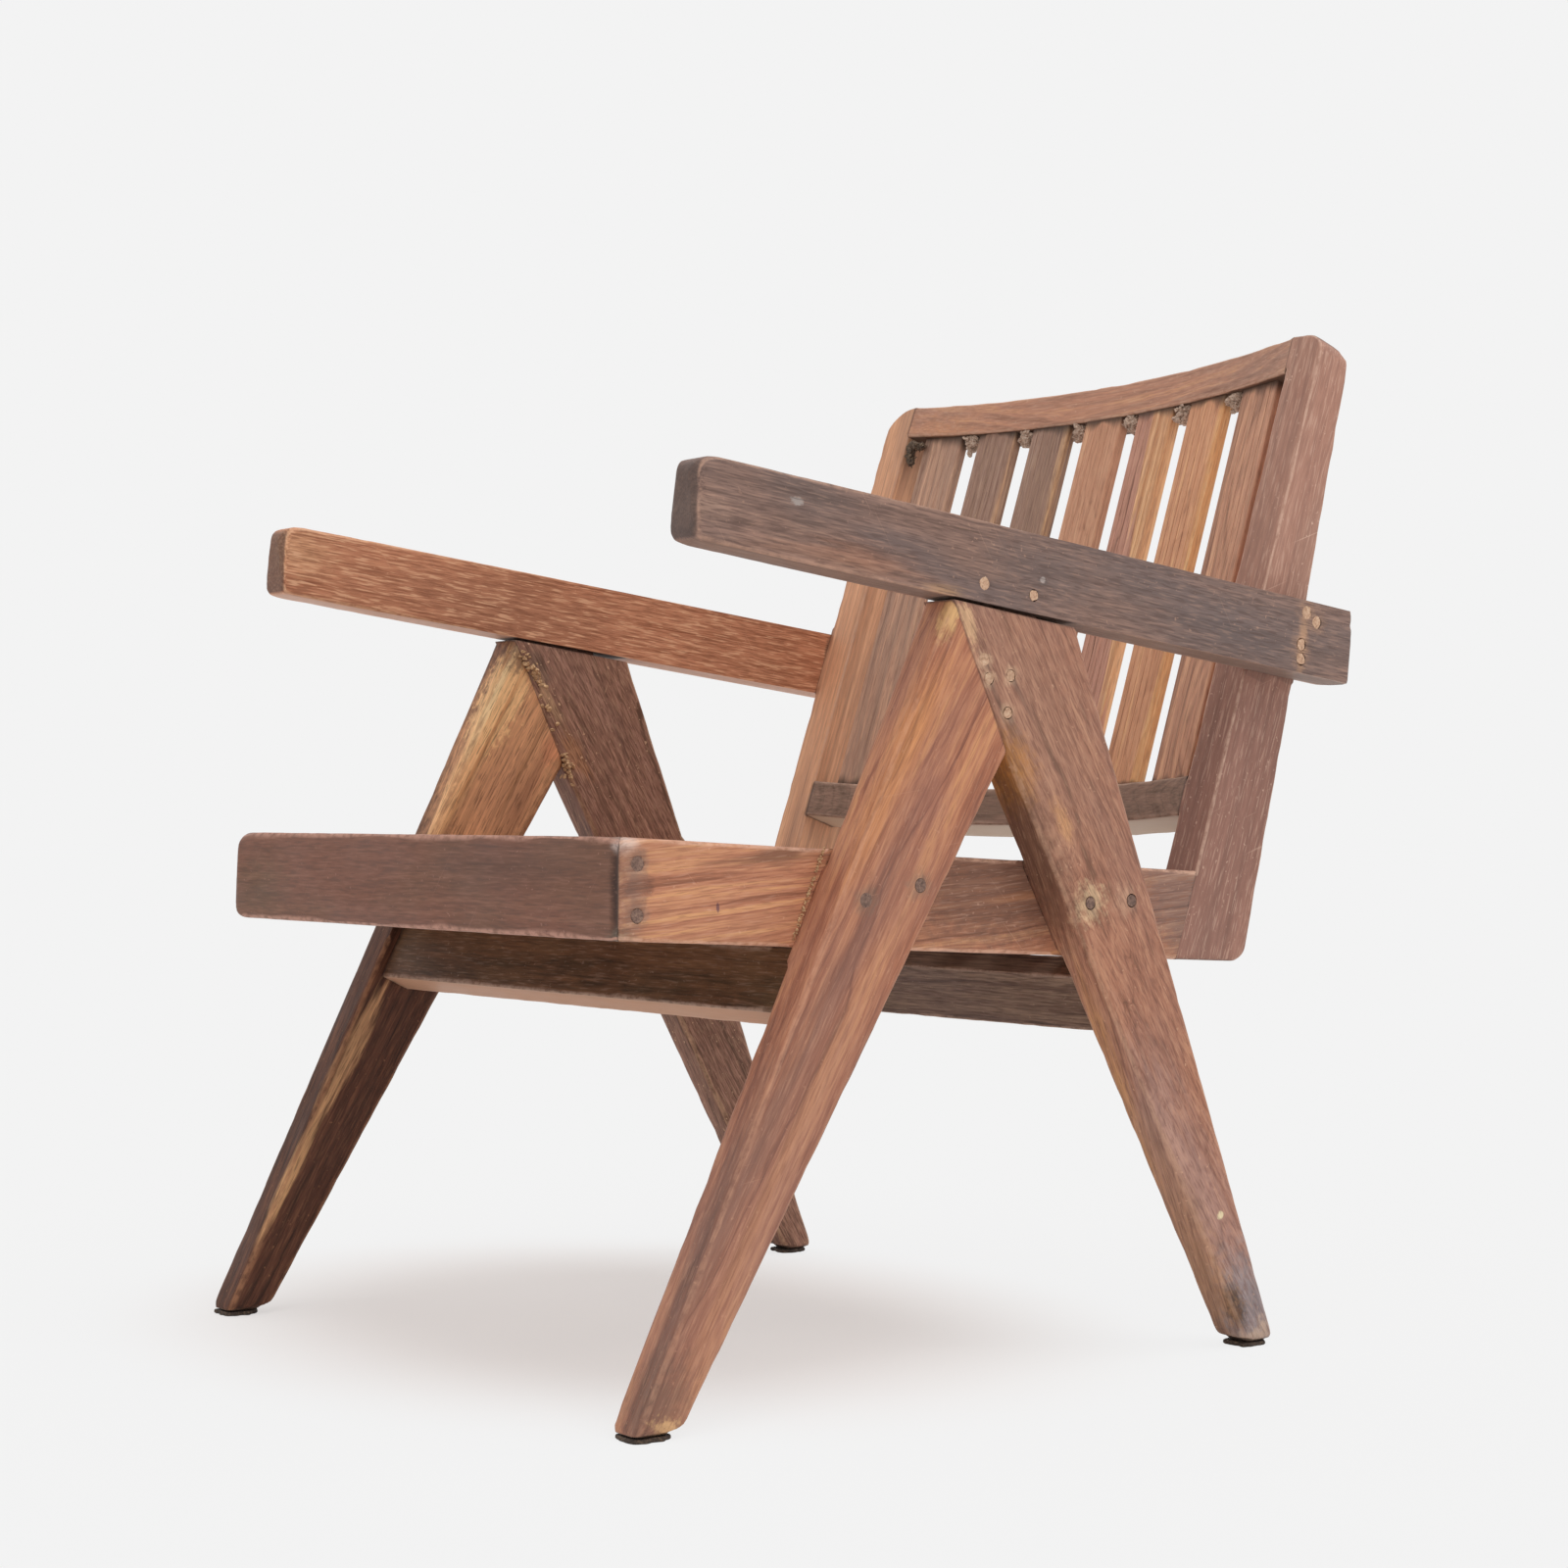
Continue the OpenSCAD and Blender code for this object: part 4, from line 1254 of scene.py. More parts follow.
def box_place(node: str) -> tuple[Matrix, Vector]:
    """Reads a turned box from a CAD node.

    Args:
        node: The node, a box in any position.

    Returns:
        Its place, with Z along its length and X along its width, and its width, thickness and length.
    """
    corners = solids_of(node)[0]
    centre = corners.mean(0)
    spread, axes = np.linalg.eigh(np.cov((corners - centre).T))
    thick, wide, long = (Vector(axes[:, i]) for i in np.argsort(spread))
    wide = wide if wide.x > 0 else -wide
    long = long if long.z + long.y > 0 else -long
    thick = long.cross(wide)
    reach = [2 * max(abs((Vector(c) - Vector(centre)).dot(axis)) for c in corners)
             for axis in (wide, thick, long)]
    place = Matrix((wide, thick, long)).transposed().to_4x4()
    place.translation = Vector(centre)
    return place, Vector(reach)


@dataclass
class SlatRow:
    """A row of slats, each with a finish of its own.

    Attributes:
        name: Name of the row.
        nodes: Its CAD nodes, in order.
        slot: Name of its material slot.
        finishes: The finish of each slat.
        arris_mm: Radius of the slats' arrises.
        wave_mm: How far their faces dip.
    """

    name: str
    nodes: tuple[str, ...]
    slot: str
    finishes: tuple[OiledTeak, ...]
    arris_mm: float = 1.6
    wave_mm: float = 0.3

    WAVE_LENGTH_MM = 60.0

    def build(self, surroundings: Surroundings) -> bpy.types.Object:
        """Lays the slats out on their CAD nodes' places and dresses them.

        Args:
            surroundings: All the pieces of the chair.

        Returns:
            The row.
        """
        places, sizes = zip(*(box_place(node) for node in self.nodes))
        width, thickness, length = sizes[0]
        layout = Layout(self.name + "_layout", {"Width": width, "Thickness": thickness,
                                                "Length": length, "Arris": self.arris_mm * MM})
        materials = [TeakShader(finish).build() for finish in self.finishes]
        mesh = taken_up(layout.lay_out(layout.slat(), list(places), self.name, materials[0]))
        row = mesh.verts.layers.int["row"]
        joint = mesh.verts.layers.float.new("joint")
        others = surroundings.without(self.nodes)
        mesh.normal_update()
        for face in mesh.faces:
            face.material_index = face.verts[0][row]
        moves = []
        for vert in mesh.verts:
            vert[joint] = Surroundings.distance_mm(others, vert.co)
            place = vert.co / MM / self.WAVE_LENGTH_MM + Vector((0, 0, 9.0 * vert[row]))
            dip = self.wave_mm * (0.5 + 0.5 * noise.noise(place)) * min(1.0, vert[joint] / JOINT_FADE_MM)
            moves.append(vert.normal * (-dip * MM))
        for vert, move in zip(mesh.verts, moves):
            vert.co += move
        return finish_piece(mesh, self.name, self.slot, self.nodes, materials)


def filler(name: str, colour: str, dark: str, speck: str) -> bpy.types.Material:
    """Makes the finish of a wooden plug or of old filler: cut end grain, matt and grubby.

    Args:
        name: Name of the material.
        colour: Its main colour.
        dark: Colour of its pits and rim.
        speck: Colour of its light specks.

    Returns:
        The material.
    """
    material = bpy.data.materials.new(name)
    sheet = sheet_of(material)
    place = sheet.add("ShaderNodeTexCoord", out="Object")
    # End grain and dirt vary over about 2 mm
    grit = sheet.add(NOISE, {"Vector": place, "Scale": 1 / (2.2 * MM), "Detail": 3.0, "Roughness": 0.7})
    broad = sheet.add(NOISE, {"Vector": place, "Scale": 1 / (11 * MM), "Detail": 2.0})
    tone = sheet.add("ShaderNodeValToRGB", {0: grit}, stops=(
        (0.33, linear(dark)), (0.5, linear(colour)), (0.72, linear(speck))))
    dirt = sheet.add(RANGE, {0: broad, LOW: 0.45, HIGH: 0.65, TO: 0.45})
    tone = sheet.add(MIX, {SHARE: dirt, UNDER: tone, OVER: linear(dark)}, out=RESULT, data_type="RGBA")
    bump = sheet.add("ShaderNodeBump", {"Height": grit, "Distance": 0.4 * MM, "Strength": 0.6})
    shader = sheet.add("ShaderNodeBsdfPrincipled", {"Base Color": tone, "Roughness": 0.75, "Normal": bump})
    sheet.add("ShaderNodeOutputMaterial", {"Surface": shader})
    return material


def blackened_steel() -> bpy.types.Material:
    """Makes the finish of the hidden screws: old steel, dull and dark with rust in places.

    Returns:
        The material.
    """
    material = bpy.data.materials.new("blackened_steel")
    sheet = sheet_of(material)
    place = sheet.add("ShaderNodeTexCoord", out="Object")
    # Rust blooms are 2 to 4 mm across
    bloom = sheet.add(NOISE, {"Vector": place, "Scale": 1 / (3 * MM), "Detail": 3.0})
    tone = sheet.add("ShaderNodeValToRGB", {0: bloom}, stops=(
        (0.42, linear("#4b4a49")), (0.56, linear("#5a4f48")), (0.66, linear("#6e4630"))))
    rough = sheet.add(RANGE, {0: bloom, LOW: 0.4, HIGH: 0.65, FROM: 0.35, TO: 0.8})
    shader = sheet.add("ShaderNodeBsdfPrincipled", {"Base Color": tone, "Roughness": rough,
                                                    "Metallic": 0.9})
    sheet.add("ShaderNodeOutputMaterial", {"Surface": shader})
    return material


def smears(node: str, colour: str, size_mm: float, strength: float = 0.6) -> tuple[Mark, ...]:
    """Smears filler over a board round the ends of its pins or plugs.

    Args:
        node: The CAD node with the pins or plugs.
        colour: Colour of the filler.
        size_mm: Half the width of a smear.
        strength: How much it covers, up to 1.

    Returns:
        A mark for each of them.
    """
    marks = []
    for solid in solids_of(node):
        middle = (solid.min(0) + solid.max(0)) / 2
        middle[0] = max(solid[:, 0], key=abs)
        marks.append(Mark(tuple(middle / MM), (size_mm, size_mm), colour, strength, 1.3, 0.5))
    return tuple(marks)


@dataclass
class Fastenings:
    """Plugs, pins and screws of one side of the chair.

    Attributes:
        facing: The side of the chair.
        sunk_mm: How far the plugs lie below the CAD face, which is a little above the worn wood.
        grow_mm: How far they are spread over the rim of their hole.
    """

    facing: Facing
    sunk_mm: float = 0.06
    grow_mm: float = 0.7

    def round_pieces(self, name: str, nodes: tuple[str, ...], material: bpy.types.Material,
                     fray_mm: float) -> None:
        """Lays out plugs or pins on the places of their CAD solids.

        Args:
            name: Name of the piece.
            nodes: The CAD nodes that it stands for.
            material: Its finish.
            fray_mm: How far their outlines wander.
        """
        outward = Vector((self.facing.value, 0.0, 0.0))
        turn = outward.to_track_quat("Z", "Y").to_matrix().to_4x4()
        places = []
        for node in nodes:
            for solid in solids_of(node):
                low, high = Vector(solid.min(0)), Vector(solid.max(0))
                middle = (low + high) / 2
                middle.x = (high.x if self.facing is Facing.LEFT else low.x) - outward.x * self.sunk_mm * MM
                places.append(Matrix.Translation(middle) @ turn)
                size = high - low
        layout = Layout(name + "_layout", {"Radius": size.y / 2 + self.grow_mm * MM, "Depth": size.x})
        data = layout.lay_out(layout.plug(), places, name, material, scatter=0.25, fray_mm=fray_mm)
        finish_piece(taken_up(data), name, "plug_wood", nodes, [material])

    def build(self) -> None:
        """Builds the plugs and pins, and gives the screws their steel."""
        side = self.facing.prefix
        pale = filler(side + "pale_filler", "#cfa587", "#ab8468", "#e6c8a8")
        grey = filler(side + "grey_end_grain", "#836558", "#5a443b", "#a1836f")
        self.round_pieces(side + "pin_ends", (side + "joint_pins",), pale, 1.5)
        self.round_pieces(side + "arm_fillings", (side + "arm_plugs",), pale, 1.5)
        self.round_pieces(side + "leg_fillings", (side + "leg_plugs",), grey, 0.7)
        self.round_pieces(side + "corner_fillings", (side + "corner_plugs",), grey, 1.2)
        steel = blackened_steel()
        for kind in ("arm", "leg", "corner"):
            screws = frame["nodes"][f"{side}{kind}_screws"]
            screws.data.materials.clear()
            screws.data.materials.append(steel)


@dataclass
class Residue:
    """Crumbs of old filler and dirt that stuck in a corner.

    Attributes:
        name: Name of the piece.
        runs_mm: Lines along which the crumbs lie, each as a start and an end.
        count: Number of crumbs on each line.
        size_mm: Radius of the largest crumbs.
        spread_mm: How far they lie from the line.
        finish: Their finish.
        seed: Seed of their places.
    """

    name: str
    runs_mm: tuple[tuple[Triple, Triple], ...]
    count: int
    size_mm: float
    spread_mm: float
    finish: bpy.types.Material
    seed: int = 1

    def build(self) -> bpy.types.Object:
        """Scatters the crumbs.

        Returns:
            The piece.
        """
        chance = np.random.default_rng(self.seed)
        places = []
        for start, end in self.runs_mm:
            for _ in range(self.count):
                at = Vector(start).lerp(Vector(end), chance.random())
                at += Vector(chance.normal(0.0, self.spread_mm / 2, 3))
                turn = Euler(chance.uniform(-math.pi, math.pi, 3)).to_matrix().to_4x4()
                places.append(Matrix.Translation(at * MM) @ turn)
        layout = Layout(self.name + "_layout", {"Radius": self.size_mm * MM})
        data = layout.lay_out(layout.lump(), places, self.name, self.finish, scatter=0.75)
        return finish_piece(taken_up(data), self.name, "plug_wood", (), [self.finish])


@dataclass
class FootPad:
    """A worn dark pad under a foot, ragged at its rim.

    Attributes:
        node: Its CAD node.
        frayed_mm: How far its rim wanders.
        inset_mm: How much smaller it has become than the foot, on each side.
        slipped_mm: How far it has slipped to the front.
    """

    node: str
    frayed_mm: float = 2.5
    inset_mm: float = 2.8
    slipped_mm: float = 2.0

    RIM_POINTS = 64

    def build(self) -> bpy.types.Object:
        """Builds the pad in the space of its CAD node.

        Returns:
            The pad.
        """
        low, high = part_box(self.node)
        centre, half = (low + high) / 2, (high - low) / 2
        centre.y -= self.slipped_mm * MM
        mesh = bmesh.new()
        rings = []
        # Heights of the rim's four rings, and how far each lies inside the widest one, in mm
        for z, inset in ((low.z, 0.9), (low.z + 0.9 * MM, 0.0), (high.z - 0.6 * MM, 0.1), (high.z, 0.5)):
            inset += self.inset_mm
            ring = []
            for i in range(self.RIM_POINTS):
                a = 2 * math.pi * i / self.RIM_POINTS
                c, s = math.cos(a), math.sin(a)
                # A superellipse of power 4 has the foot's corners, trodden round
                reach = (abs(c) ** 4 + abs(s) ** 4) ** (-1 / 4)
                fray = self.frayed_mm * noise.noise(Vector((3 * c, 3 * s, centre.y * 9 + centre.x * 5)))
                x, y = (h - (inset - fray) * MM for h in (half.x, half.y))
                ring.append(mesh.verts.new((centre.x + x * c * reach, centre.y + y * s * reach, z)))
            rings.append(ring)
        for below, above in zip(rings, rings[1:]):
            for i in range(self.RIM_POINTS):
                j = (i + 1) % self.RIM_POINTS
                mesh.faces.new((below[i], below[j], above[j], above[i]))
        mesh.faces.new(list(reversed(rings[0])))
        mesh.faces.new(rings[-1])
        finish = filler("trodden_pad", "#46372d", "#2a201b", "#7a6450")
        return finish_piece(mesh, self.node + "_worn", "foot_pad", (self.node,), [finish])


def foot_sides(leg: str) -> tuple[Triple, ...]:
    """Finds the outward directions of the narrow faces that rise from a foot.

    Args:
        leg: The CAD node of the leg.

    Returns:
        The two directions.
    """
    data = frame["nodes"][leg].data
    floor = min(v.co.z for v in data.vertices) + 1.0 * MM
    rising = {tuple(round(c, 3) for c in face.normal) for face in data.polygons
              if abs(face.normal.x) < 0.01 and face.normal.z > -0.9
              and min(data.vertices[i].co.z for i in face.vertices) < floor}
    return tuple(rising)


@dataclass
class SideFrame:
    """An arm on its two legs, with their foot pads, plugs and pins.

    Attributes:
        facing: The side of the chair.
        arm: Finish of the arm.
        front_leg: Finish of the front leg.
        rear_leg: Finish of the rear leg.
        arm_arris_mm: Radius of the arm's arrises.
        leg_arris_mm: Radius of the legs' arrises.
        foot_mm: Radius of the edges round the feet.
        foot_fades_mm: Length over which that gets back to the legs' own arrises.
        arm_end_mm: Radius of the edges round the arm's ends.
        arm_stretch_mm: How far the arm's ends stand out.
    """

    facing: Facing
    arm: OiledTeak
    front_leg: OiledTeak
    rear_leg: OiledTeak
    arm_arris_mm: float = 3.0
    leg_arris_mm: float = 4.5
    foot_mm: float = 8.0
    foot_fades_mm: float = 40.0
    arm_end_mm: float = 12.0
    arm_stretch_mm: float = 2.5

    def build(self, surroundings: Surroundings) -> None:
        """Builds the side frame.

        Args:
            surroundings: All the pieces of the chair.
        """
        side = self.facing.prefix
        level = Vector(self.arm.grain)
        faces = (ACROSS, -ACROSS, ACROSS.cross(level), level.cross(ACROSS))
        ends = tuple(RoundedEnd((side + "arm",), (way,), faces, self.arm_end_mm,
                                stretch_mm=(self.arm_stretch_mm,) * 2)
                     for way in (level, -level))
        Board(side + "arm", "arm_wood", self.arm, self.arm_arris_mm, ends=ends).build(surroundings)
        for leg, finish in (("front_leg", self.front_leg), ("rear_leg", self.rear_leg)):
            sides = (ACROSS, -ACROSS, *foot_sides(side + leg))
            foot = RoundedEnd((side + leg,), ((0, 0, -1),), sides, self.foot_mm, self.foot_fades_mm)
            Board(side + leg, "leg_wood", finish, self.leg_arris_mm, ends=(foot,)).build(surroundings)
        for foot in ("front", "rear"):
            FootPad(f"{side}{foot}_foot_pad").build()
        Fastenings(self.facing).build()


@dataclass
class SeatFrame:
    """The seat's four rails and its slats.

    Attributes:
        front: Finish of the front rail.
        left: Finish of the left side rail.
        right: Finish of the right side rail.
        rear: Finish of the rear rail.
        slats: Finishes of the slats.
        arris_mm: Radius of the rails' arrises.
        corner_mm: Radius of the left front corner's edges.
        right_corner_mm: Radius of the right front corner's edges.
        corner_fades_mm: Length over which these get back to the rails' own arrises.
        right_stretch_mm: How far the right corner stands out above and below.
    """

    front: OiledTeak
    left: OiledTeak
    right: OiledTeak
    rear: OiledTeak
    slats: tuple[OiledTeak, ...]
    arris_mm: float = 2.5
    corner_mm: float = 12.0
    right_corner_mm: float = 15.6
    corner_fades_mm: float = 55.0
    right_stretch_mm: tuple[float, float] = (8.0, 11.0)

    def build(self, surroundings: Surroundings) -> None:
        """Builds the seat.

        Args:
            surroundings: All the pieces of the chair.
        """
        level = Vector(SEAT_LEVEL)
        faces = (level.cross(-ACROSS), level.cross(ACROSS))
        corners = [RoundedEnd(("seat_front_rail", node), (side, -level), faces, radius,
                              self.corner_fades_mm, stretch)
                   for node, side, radius, stretch in (
                       ("seat_left_rail", ACROSS, self.corner_mm, (0.0, 0.0)),
                       ("seat_right_rail", -ACROSS, self.right_corner_mm, self.right_stretch_mm))]
        for node, finish, ends in (("seat_front_rail", self.front, corners),
                                   ("seat_left_rail", self.left, corners[:1]),
                                   ("seat_right_rail", self.right, corners[1:]),
                                   ("seat_rear_rail", self.rear, ())):
            Board(node, "seat_rail_wood", finish, self.arris_mm, ends=tuple(ends)).build(surroundings)
        nodes = tuple(f"seat_slat_{i + 1}" for i in range(len(self.slats)))
        SlatRow("seat_slats", nodes, "seat_slat_wood", self.slats).build(surroundings)


@dataclass
class CrossRails:
    """The two rails under the seat, between the legs.

    Attributes:
        front: Finish of the front one.
        rear: Finish of the rear one.
        arris_mm: Radius of their arrises.
    """

    front: OiledTeak
    rear: OiledTeak
    arris_mm: float = 1.5

    def build(self, surroundings: Surroundings) -> None:
        """Builds both cross rails.

        Args:
            surroundings: All the pieces of the chair.
        """
        for node, finish in (("front_cross_rail", self.front), ("rear_cross_rail", self.rear)):
            Board(node, "cross_rail_wood", finish, self.arris_mm).build(surroundings)


@dataclass
class Back:
    """The leaning back: two stiles, two curved rails and a row of slats.

    Attributes:
        left_stile: Finish of the left stile.
        right_stile: Finish of the right stile.
        top_rail: Finish of the top rail.
        bottom_rail: Finish of the bottom rail.
        slats: Finishes of the slats.
        arris_mm: Radius of the arrises.
        corner_mm: Radius of the right upper corner, which is rounder than the left one.
        corner_fades_mm: Length over which that gets back to the boards' own arrises.
        corner_stretch_mm: How far the corner stands out, from right to left.
        rear_mm: Radius of the stiles' upper rear edges.
        rear_fades_mm: Length over which these get back to the stiles' own arrises.
        stile_sharp_deg: Least angle of a stile's edge that counts as an arris.
    """

    left_stile: OiledTeak
    right_stile: OiledTeak
    top_rail: OiledTeak
    bottom_rail: OiledTeak
    slats: tuple[OiledTeak, ...]
    arris_mm: float = 2.0
    corner_mm: float = 34.0
    corner_fades_mm: float = 400.0
    corner_stretch_mm: tuple[float, ...] = (-3.5, -1.6, 0.0, 0.0, 0.0)
    rear_mm: float = 22.0
    rear_fades_mm: float = 150.0
    stile_sharp_deg: float = 84.0

    # The stiles get narrower to the top, so their rear faces lean less than the back
    STILE_REAR = (0.0, 0.97, -0.244)

    def build(self, surroundings: Surroundings) -> None:
        """Builds the back.

        Args:
            surroundings: All the pieces of the chair.
        """
        up = Vector(BACK_GRAIN)
        corner = RoundedEnd(("right_stile", "back_top_rail"), (up,), (-ACROSS,), self.corner_mm,
                            self.corner_fades_mm, self.corner_stretch_mm)
        for node, finish, ends in (("left_stile", self.left_stile, ()),
                                   ("right_stile", self.right_stile, (corner,))):
            rear = RoundedEnd((node,), (up,), (self.STILE_REAR,), self.rear_mm, self.rear_fades_mm)
            Board(node, "stile_wood", finish, self.arris_mm, ends=(rear, *ends),
                  sharp_deg=self.stile_sharp_deg).build(surroundings)
        for node, finish, ends in (("back_top_rail", self.top_rail, (corner,)),
                                   ("back_bottom_rail", self.bottom_rail, ())):
            Board(node, "back_rail_wood", finish, self.arris_mm, ends=ends).build(surroundings)
        nodes = tuple(f"back_slat_{i + 1}" for i in range(len(self.slats)))
        SlatRow("back_slats", nodes, "back_slat_wood", self.slats).build(surroundings)


ARM_GRAIN, FRONT_LEG_GRAIN, BACK_GRAIN, SEAT_LEVEL = (
    tuple(in_side_view(a)) for a in (-6.4, 60.0, 71.4, -2.7))
REAR_LEG_GRAIN = tuple(in_side_view(122.0) + 0.1 * ACROSS)
RAIL_GRAIN = (1.0, 0.0, 0.0)


def near_side() -> SideFrame:
    """Describes the side frame on the sitter's left.

    Returns:
        The side frame with its finishes.
    """
    arm = OiledTeak(
        "left_arm", ARM_GRAIN, (150, 0, 640), "#6e564b", "#84685d", "#917366", "#a88475",
        ring_mm=5.0, ripple_mm=5.0, contrast=0.5, fibre=0.45, lines=0.2, pores=0.35, pore="#604a43",
        flecks=0.2, dust=0.4, tint="#6e6261", tint_amount=0.55, worn="#d3a78f", worn_mm=1.5,
        worn_amount=0.5, end="#554742", seed=3.0,
        knots=(Knot((280, -222, 554), (38, 10), 9.0, "#78645c", 0.4),
               Knot((280, -22, 530), (16, 6), 6.0, "#6d605b", 0.6)),
        marks=(Mark((280, -222, 572), (30, 11), "#726059", 0.5, 1.2, 0.8),
               Mark((280, -229, 568), (4.5, 2.6), "#b5aba5", 0.6, 1.2),
               Mark((280, -174, 538), (30, 8), "#ac765c", 0.4, 1.3, 0.8),
               Mark((280, -24, 538), (42, 20), "#736562", 0.6, 1.0, 0.8),
               Mark((280, -22, 531), (2.2, 2.2), "#cbbdb6", 0.7, 1.0),
               Mark((280, -300, 560), (6, 22), "#b1907f", 0.5, 1.3, 0.8, 90),
               Mark((280, 170, 512), (125, 28), "#6f6361", 0.6, 0.8, 0.8),
               *smears("left_arm_plugs", "#ae8973", 9.0, 0.55),
               Mark((280, 233, 500), (4, 20), "#c99d7b", 0.6, 1.5, 0.7),
               Mark((280, -112, 519), (18, 3.5), "#c69a72", 0.6, 1.4, 0.6),
               Mark((280, -190, 533), (60, 5), "#a8785f", 0.4, 1.0, 0.8)))
    front_leg = OiledTeak(
        "left_front_leg", FRONT_LEG_GRAIN, (228, -262, 290), "#865544", "#ae7055", "#c78866",
        "#dd9f70", ring_mm=16.0, ripple_mm=18.0, curl_mm=3.5, contrast=0.62, fibre=0.4, lines=0.5,
        pores=0.25, pore="#90604d", tint="#a47260", tint_amount=0.5, worn="#e7b191", worn_mm=1.0,
        worn_amount=0.25, grime_mm=1.0, grime_and_shade_amount=0.4, seed=5.0,
        marks=(Mark((280, -104, 503), (16, 8), "#ecbd83", 0.85, 1.3, 0.5),
               Mark((280, -132, 432), (36, 11), "#dd9760", 0.55, 0.9, 0.8),
               Mark((280, -158, 382), (50, 8), "#de9965", 0.55, 0.9, 0.8),
               Mark((280, -120, 380), (26, 12), "#a27063", 0.5, 1.0, 0.8),
               Mark((280, -183, 285), (75, 6), "#865e53", 0.65, 0.8, 0.7),
               Mark((280, -255, 165), (70, 5), "#906451", 0.5, 0.8, 0.7),
               Mark((280, -245, 150), (130, 4), "#d3915f", 0.6, 0.8, 0.7),
               # A band of painted shade along the arris of the narrow front face, low down
               Mark((273, -300, 98), (190, 9), "#5c4138", 0.9, 0.6, 0.7),
               Mark((280, -270, 120), (190, 50), "#a2786a", 0.55, 0.7, 0.8),
               Mark((280, -330, 24), (26, 20), "#745d52", 0.6, 1.0, 0.8),
               *smears("left_leg_plugs", "#937765", 9.0, 0.45),
               Mark((280, -322, 4), (8, 12), "#deb281", 0.85, 1.6, 0.4)))
    rear_leg = OiledTeak(
        "left_rear_leg", REAR_LEG_GRAIN, (243, 40, 300), "#845a45", "#a36e57", "#b67f65",
        "#ce9878", ring_mm=6.5, ripple_mm=16.0, curl_mm=5.0, contrast=0.55, fibre=0.4, lines=0.4,
        pores=0.3, pore="#785245", dust=0.5, tint="#9d7568", tint_amount=0.4, worn="#e5b696",
        worn_mm=1.0, worn_amount=0.3, grime_mm=1.0, grime_and_shade_amount=0.4, seed=8.0,
        marks=(Mark((280, -35, 440), (110, 50), "#a17c6a", 0.5, 0.6, 0.7),
               Mark((280, 23, 316), (12, 13), "#f3cfa5", 0.7, 1.5, 0.5),
               Mark((280, 55, 318), (9, 10), "#dbaf91", 0.5, 1.4, 0.7),
               Mark((280, -3, 371), (14, 5), "#e9ae77", 0.5, 1.0, 0.7),
               Mark((280, -88, 500), (14, 6), "#ebc194", 0.6, 1.7, 0.5),
               Mark((280, 80, 150), (85, 26), "#c0998b", 0.5, 0.9, 0.8),
               Mark((280, 135, 95), (110, 30), "#ae8c84", 0.6, 0.8, 0.8),
               Mark((280, 182, 23), (46, 36), "#958b8d", 0.85, 0.8, 0.6),
               Mark((280, 145, 38), (16, 9), "#cd966b", 0.7, 1.1, 0.6),
               Mark((280, 163, 31), (17, 10), "#3f3532", 0.95, 0.8, 0.5),
               Mark((262, 140, 45), (50, 22), "#c59268", 0.7, 1.0, 0.6),
               Mark((280, 186, 6), (9, 22), "#debda1", 0.6, 1.6, 0.5),
               Mark((280, 150, 96), (3, 3), "#ffeebf", 0.8, 0.9),
               Mark((262, -52, 402), (30, 25), "#cd8b47", 0.9, 0.5, 0.5),
               Mark((262, -28, 345), (75, 27), "#604435", 0.75, 0.5, 0.5),
               Mark((254, 55, 195), (150, 13), "#e3a868", 0.85, 0.8, 0.7),
               Mark((276, 70, 170), (200, 10), "#6e4f40", 0.75, 0.6, 0.7),
               Mark((258, 130, 80), (90, 22), "#bb8b6d", 0.6, 0.5, 0.5),
               *smears("left_joint_pins", "#e2bc9b", 6.0, 0.5)))
    return SideFrame(Facing.LEFT, arm, front_leg, rear_leg)


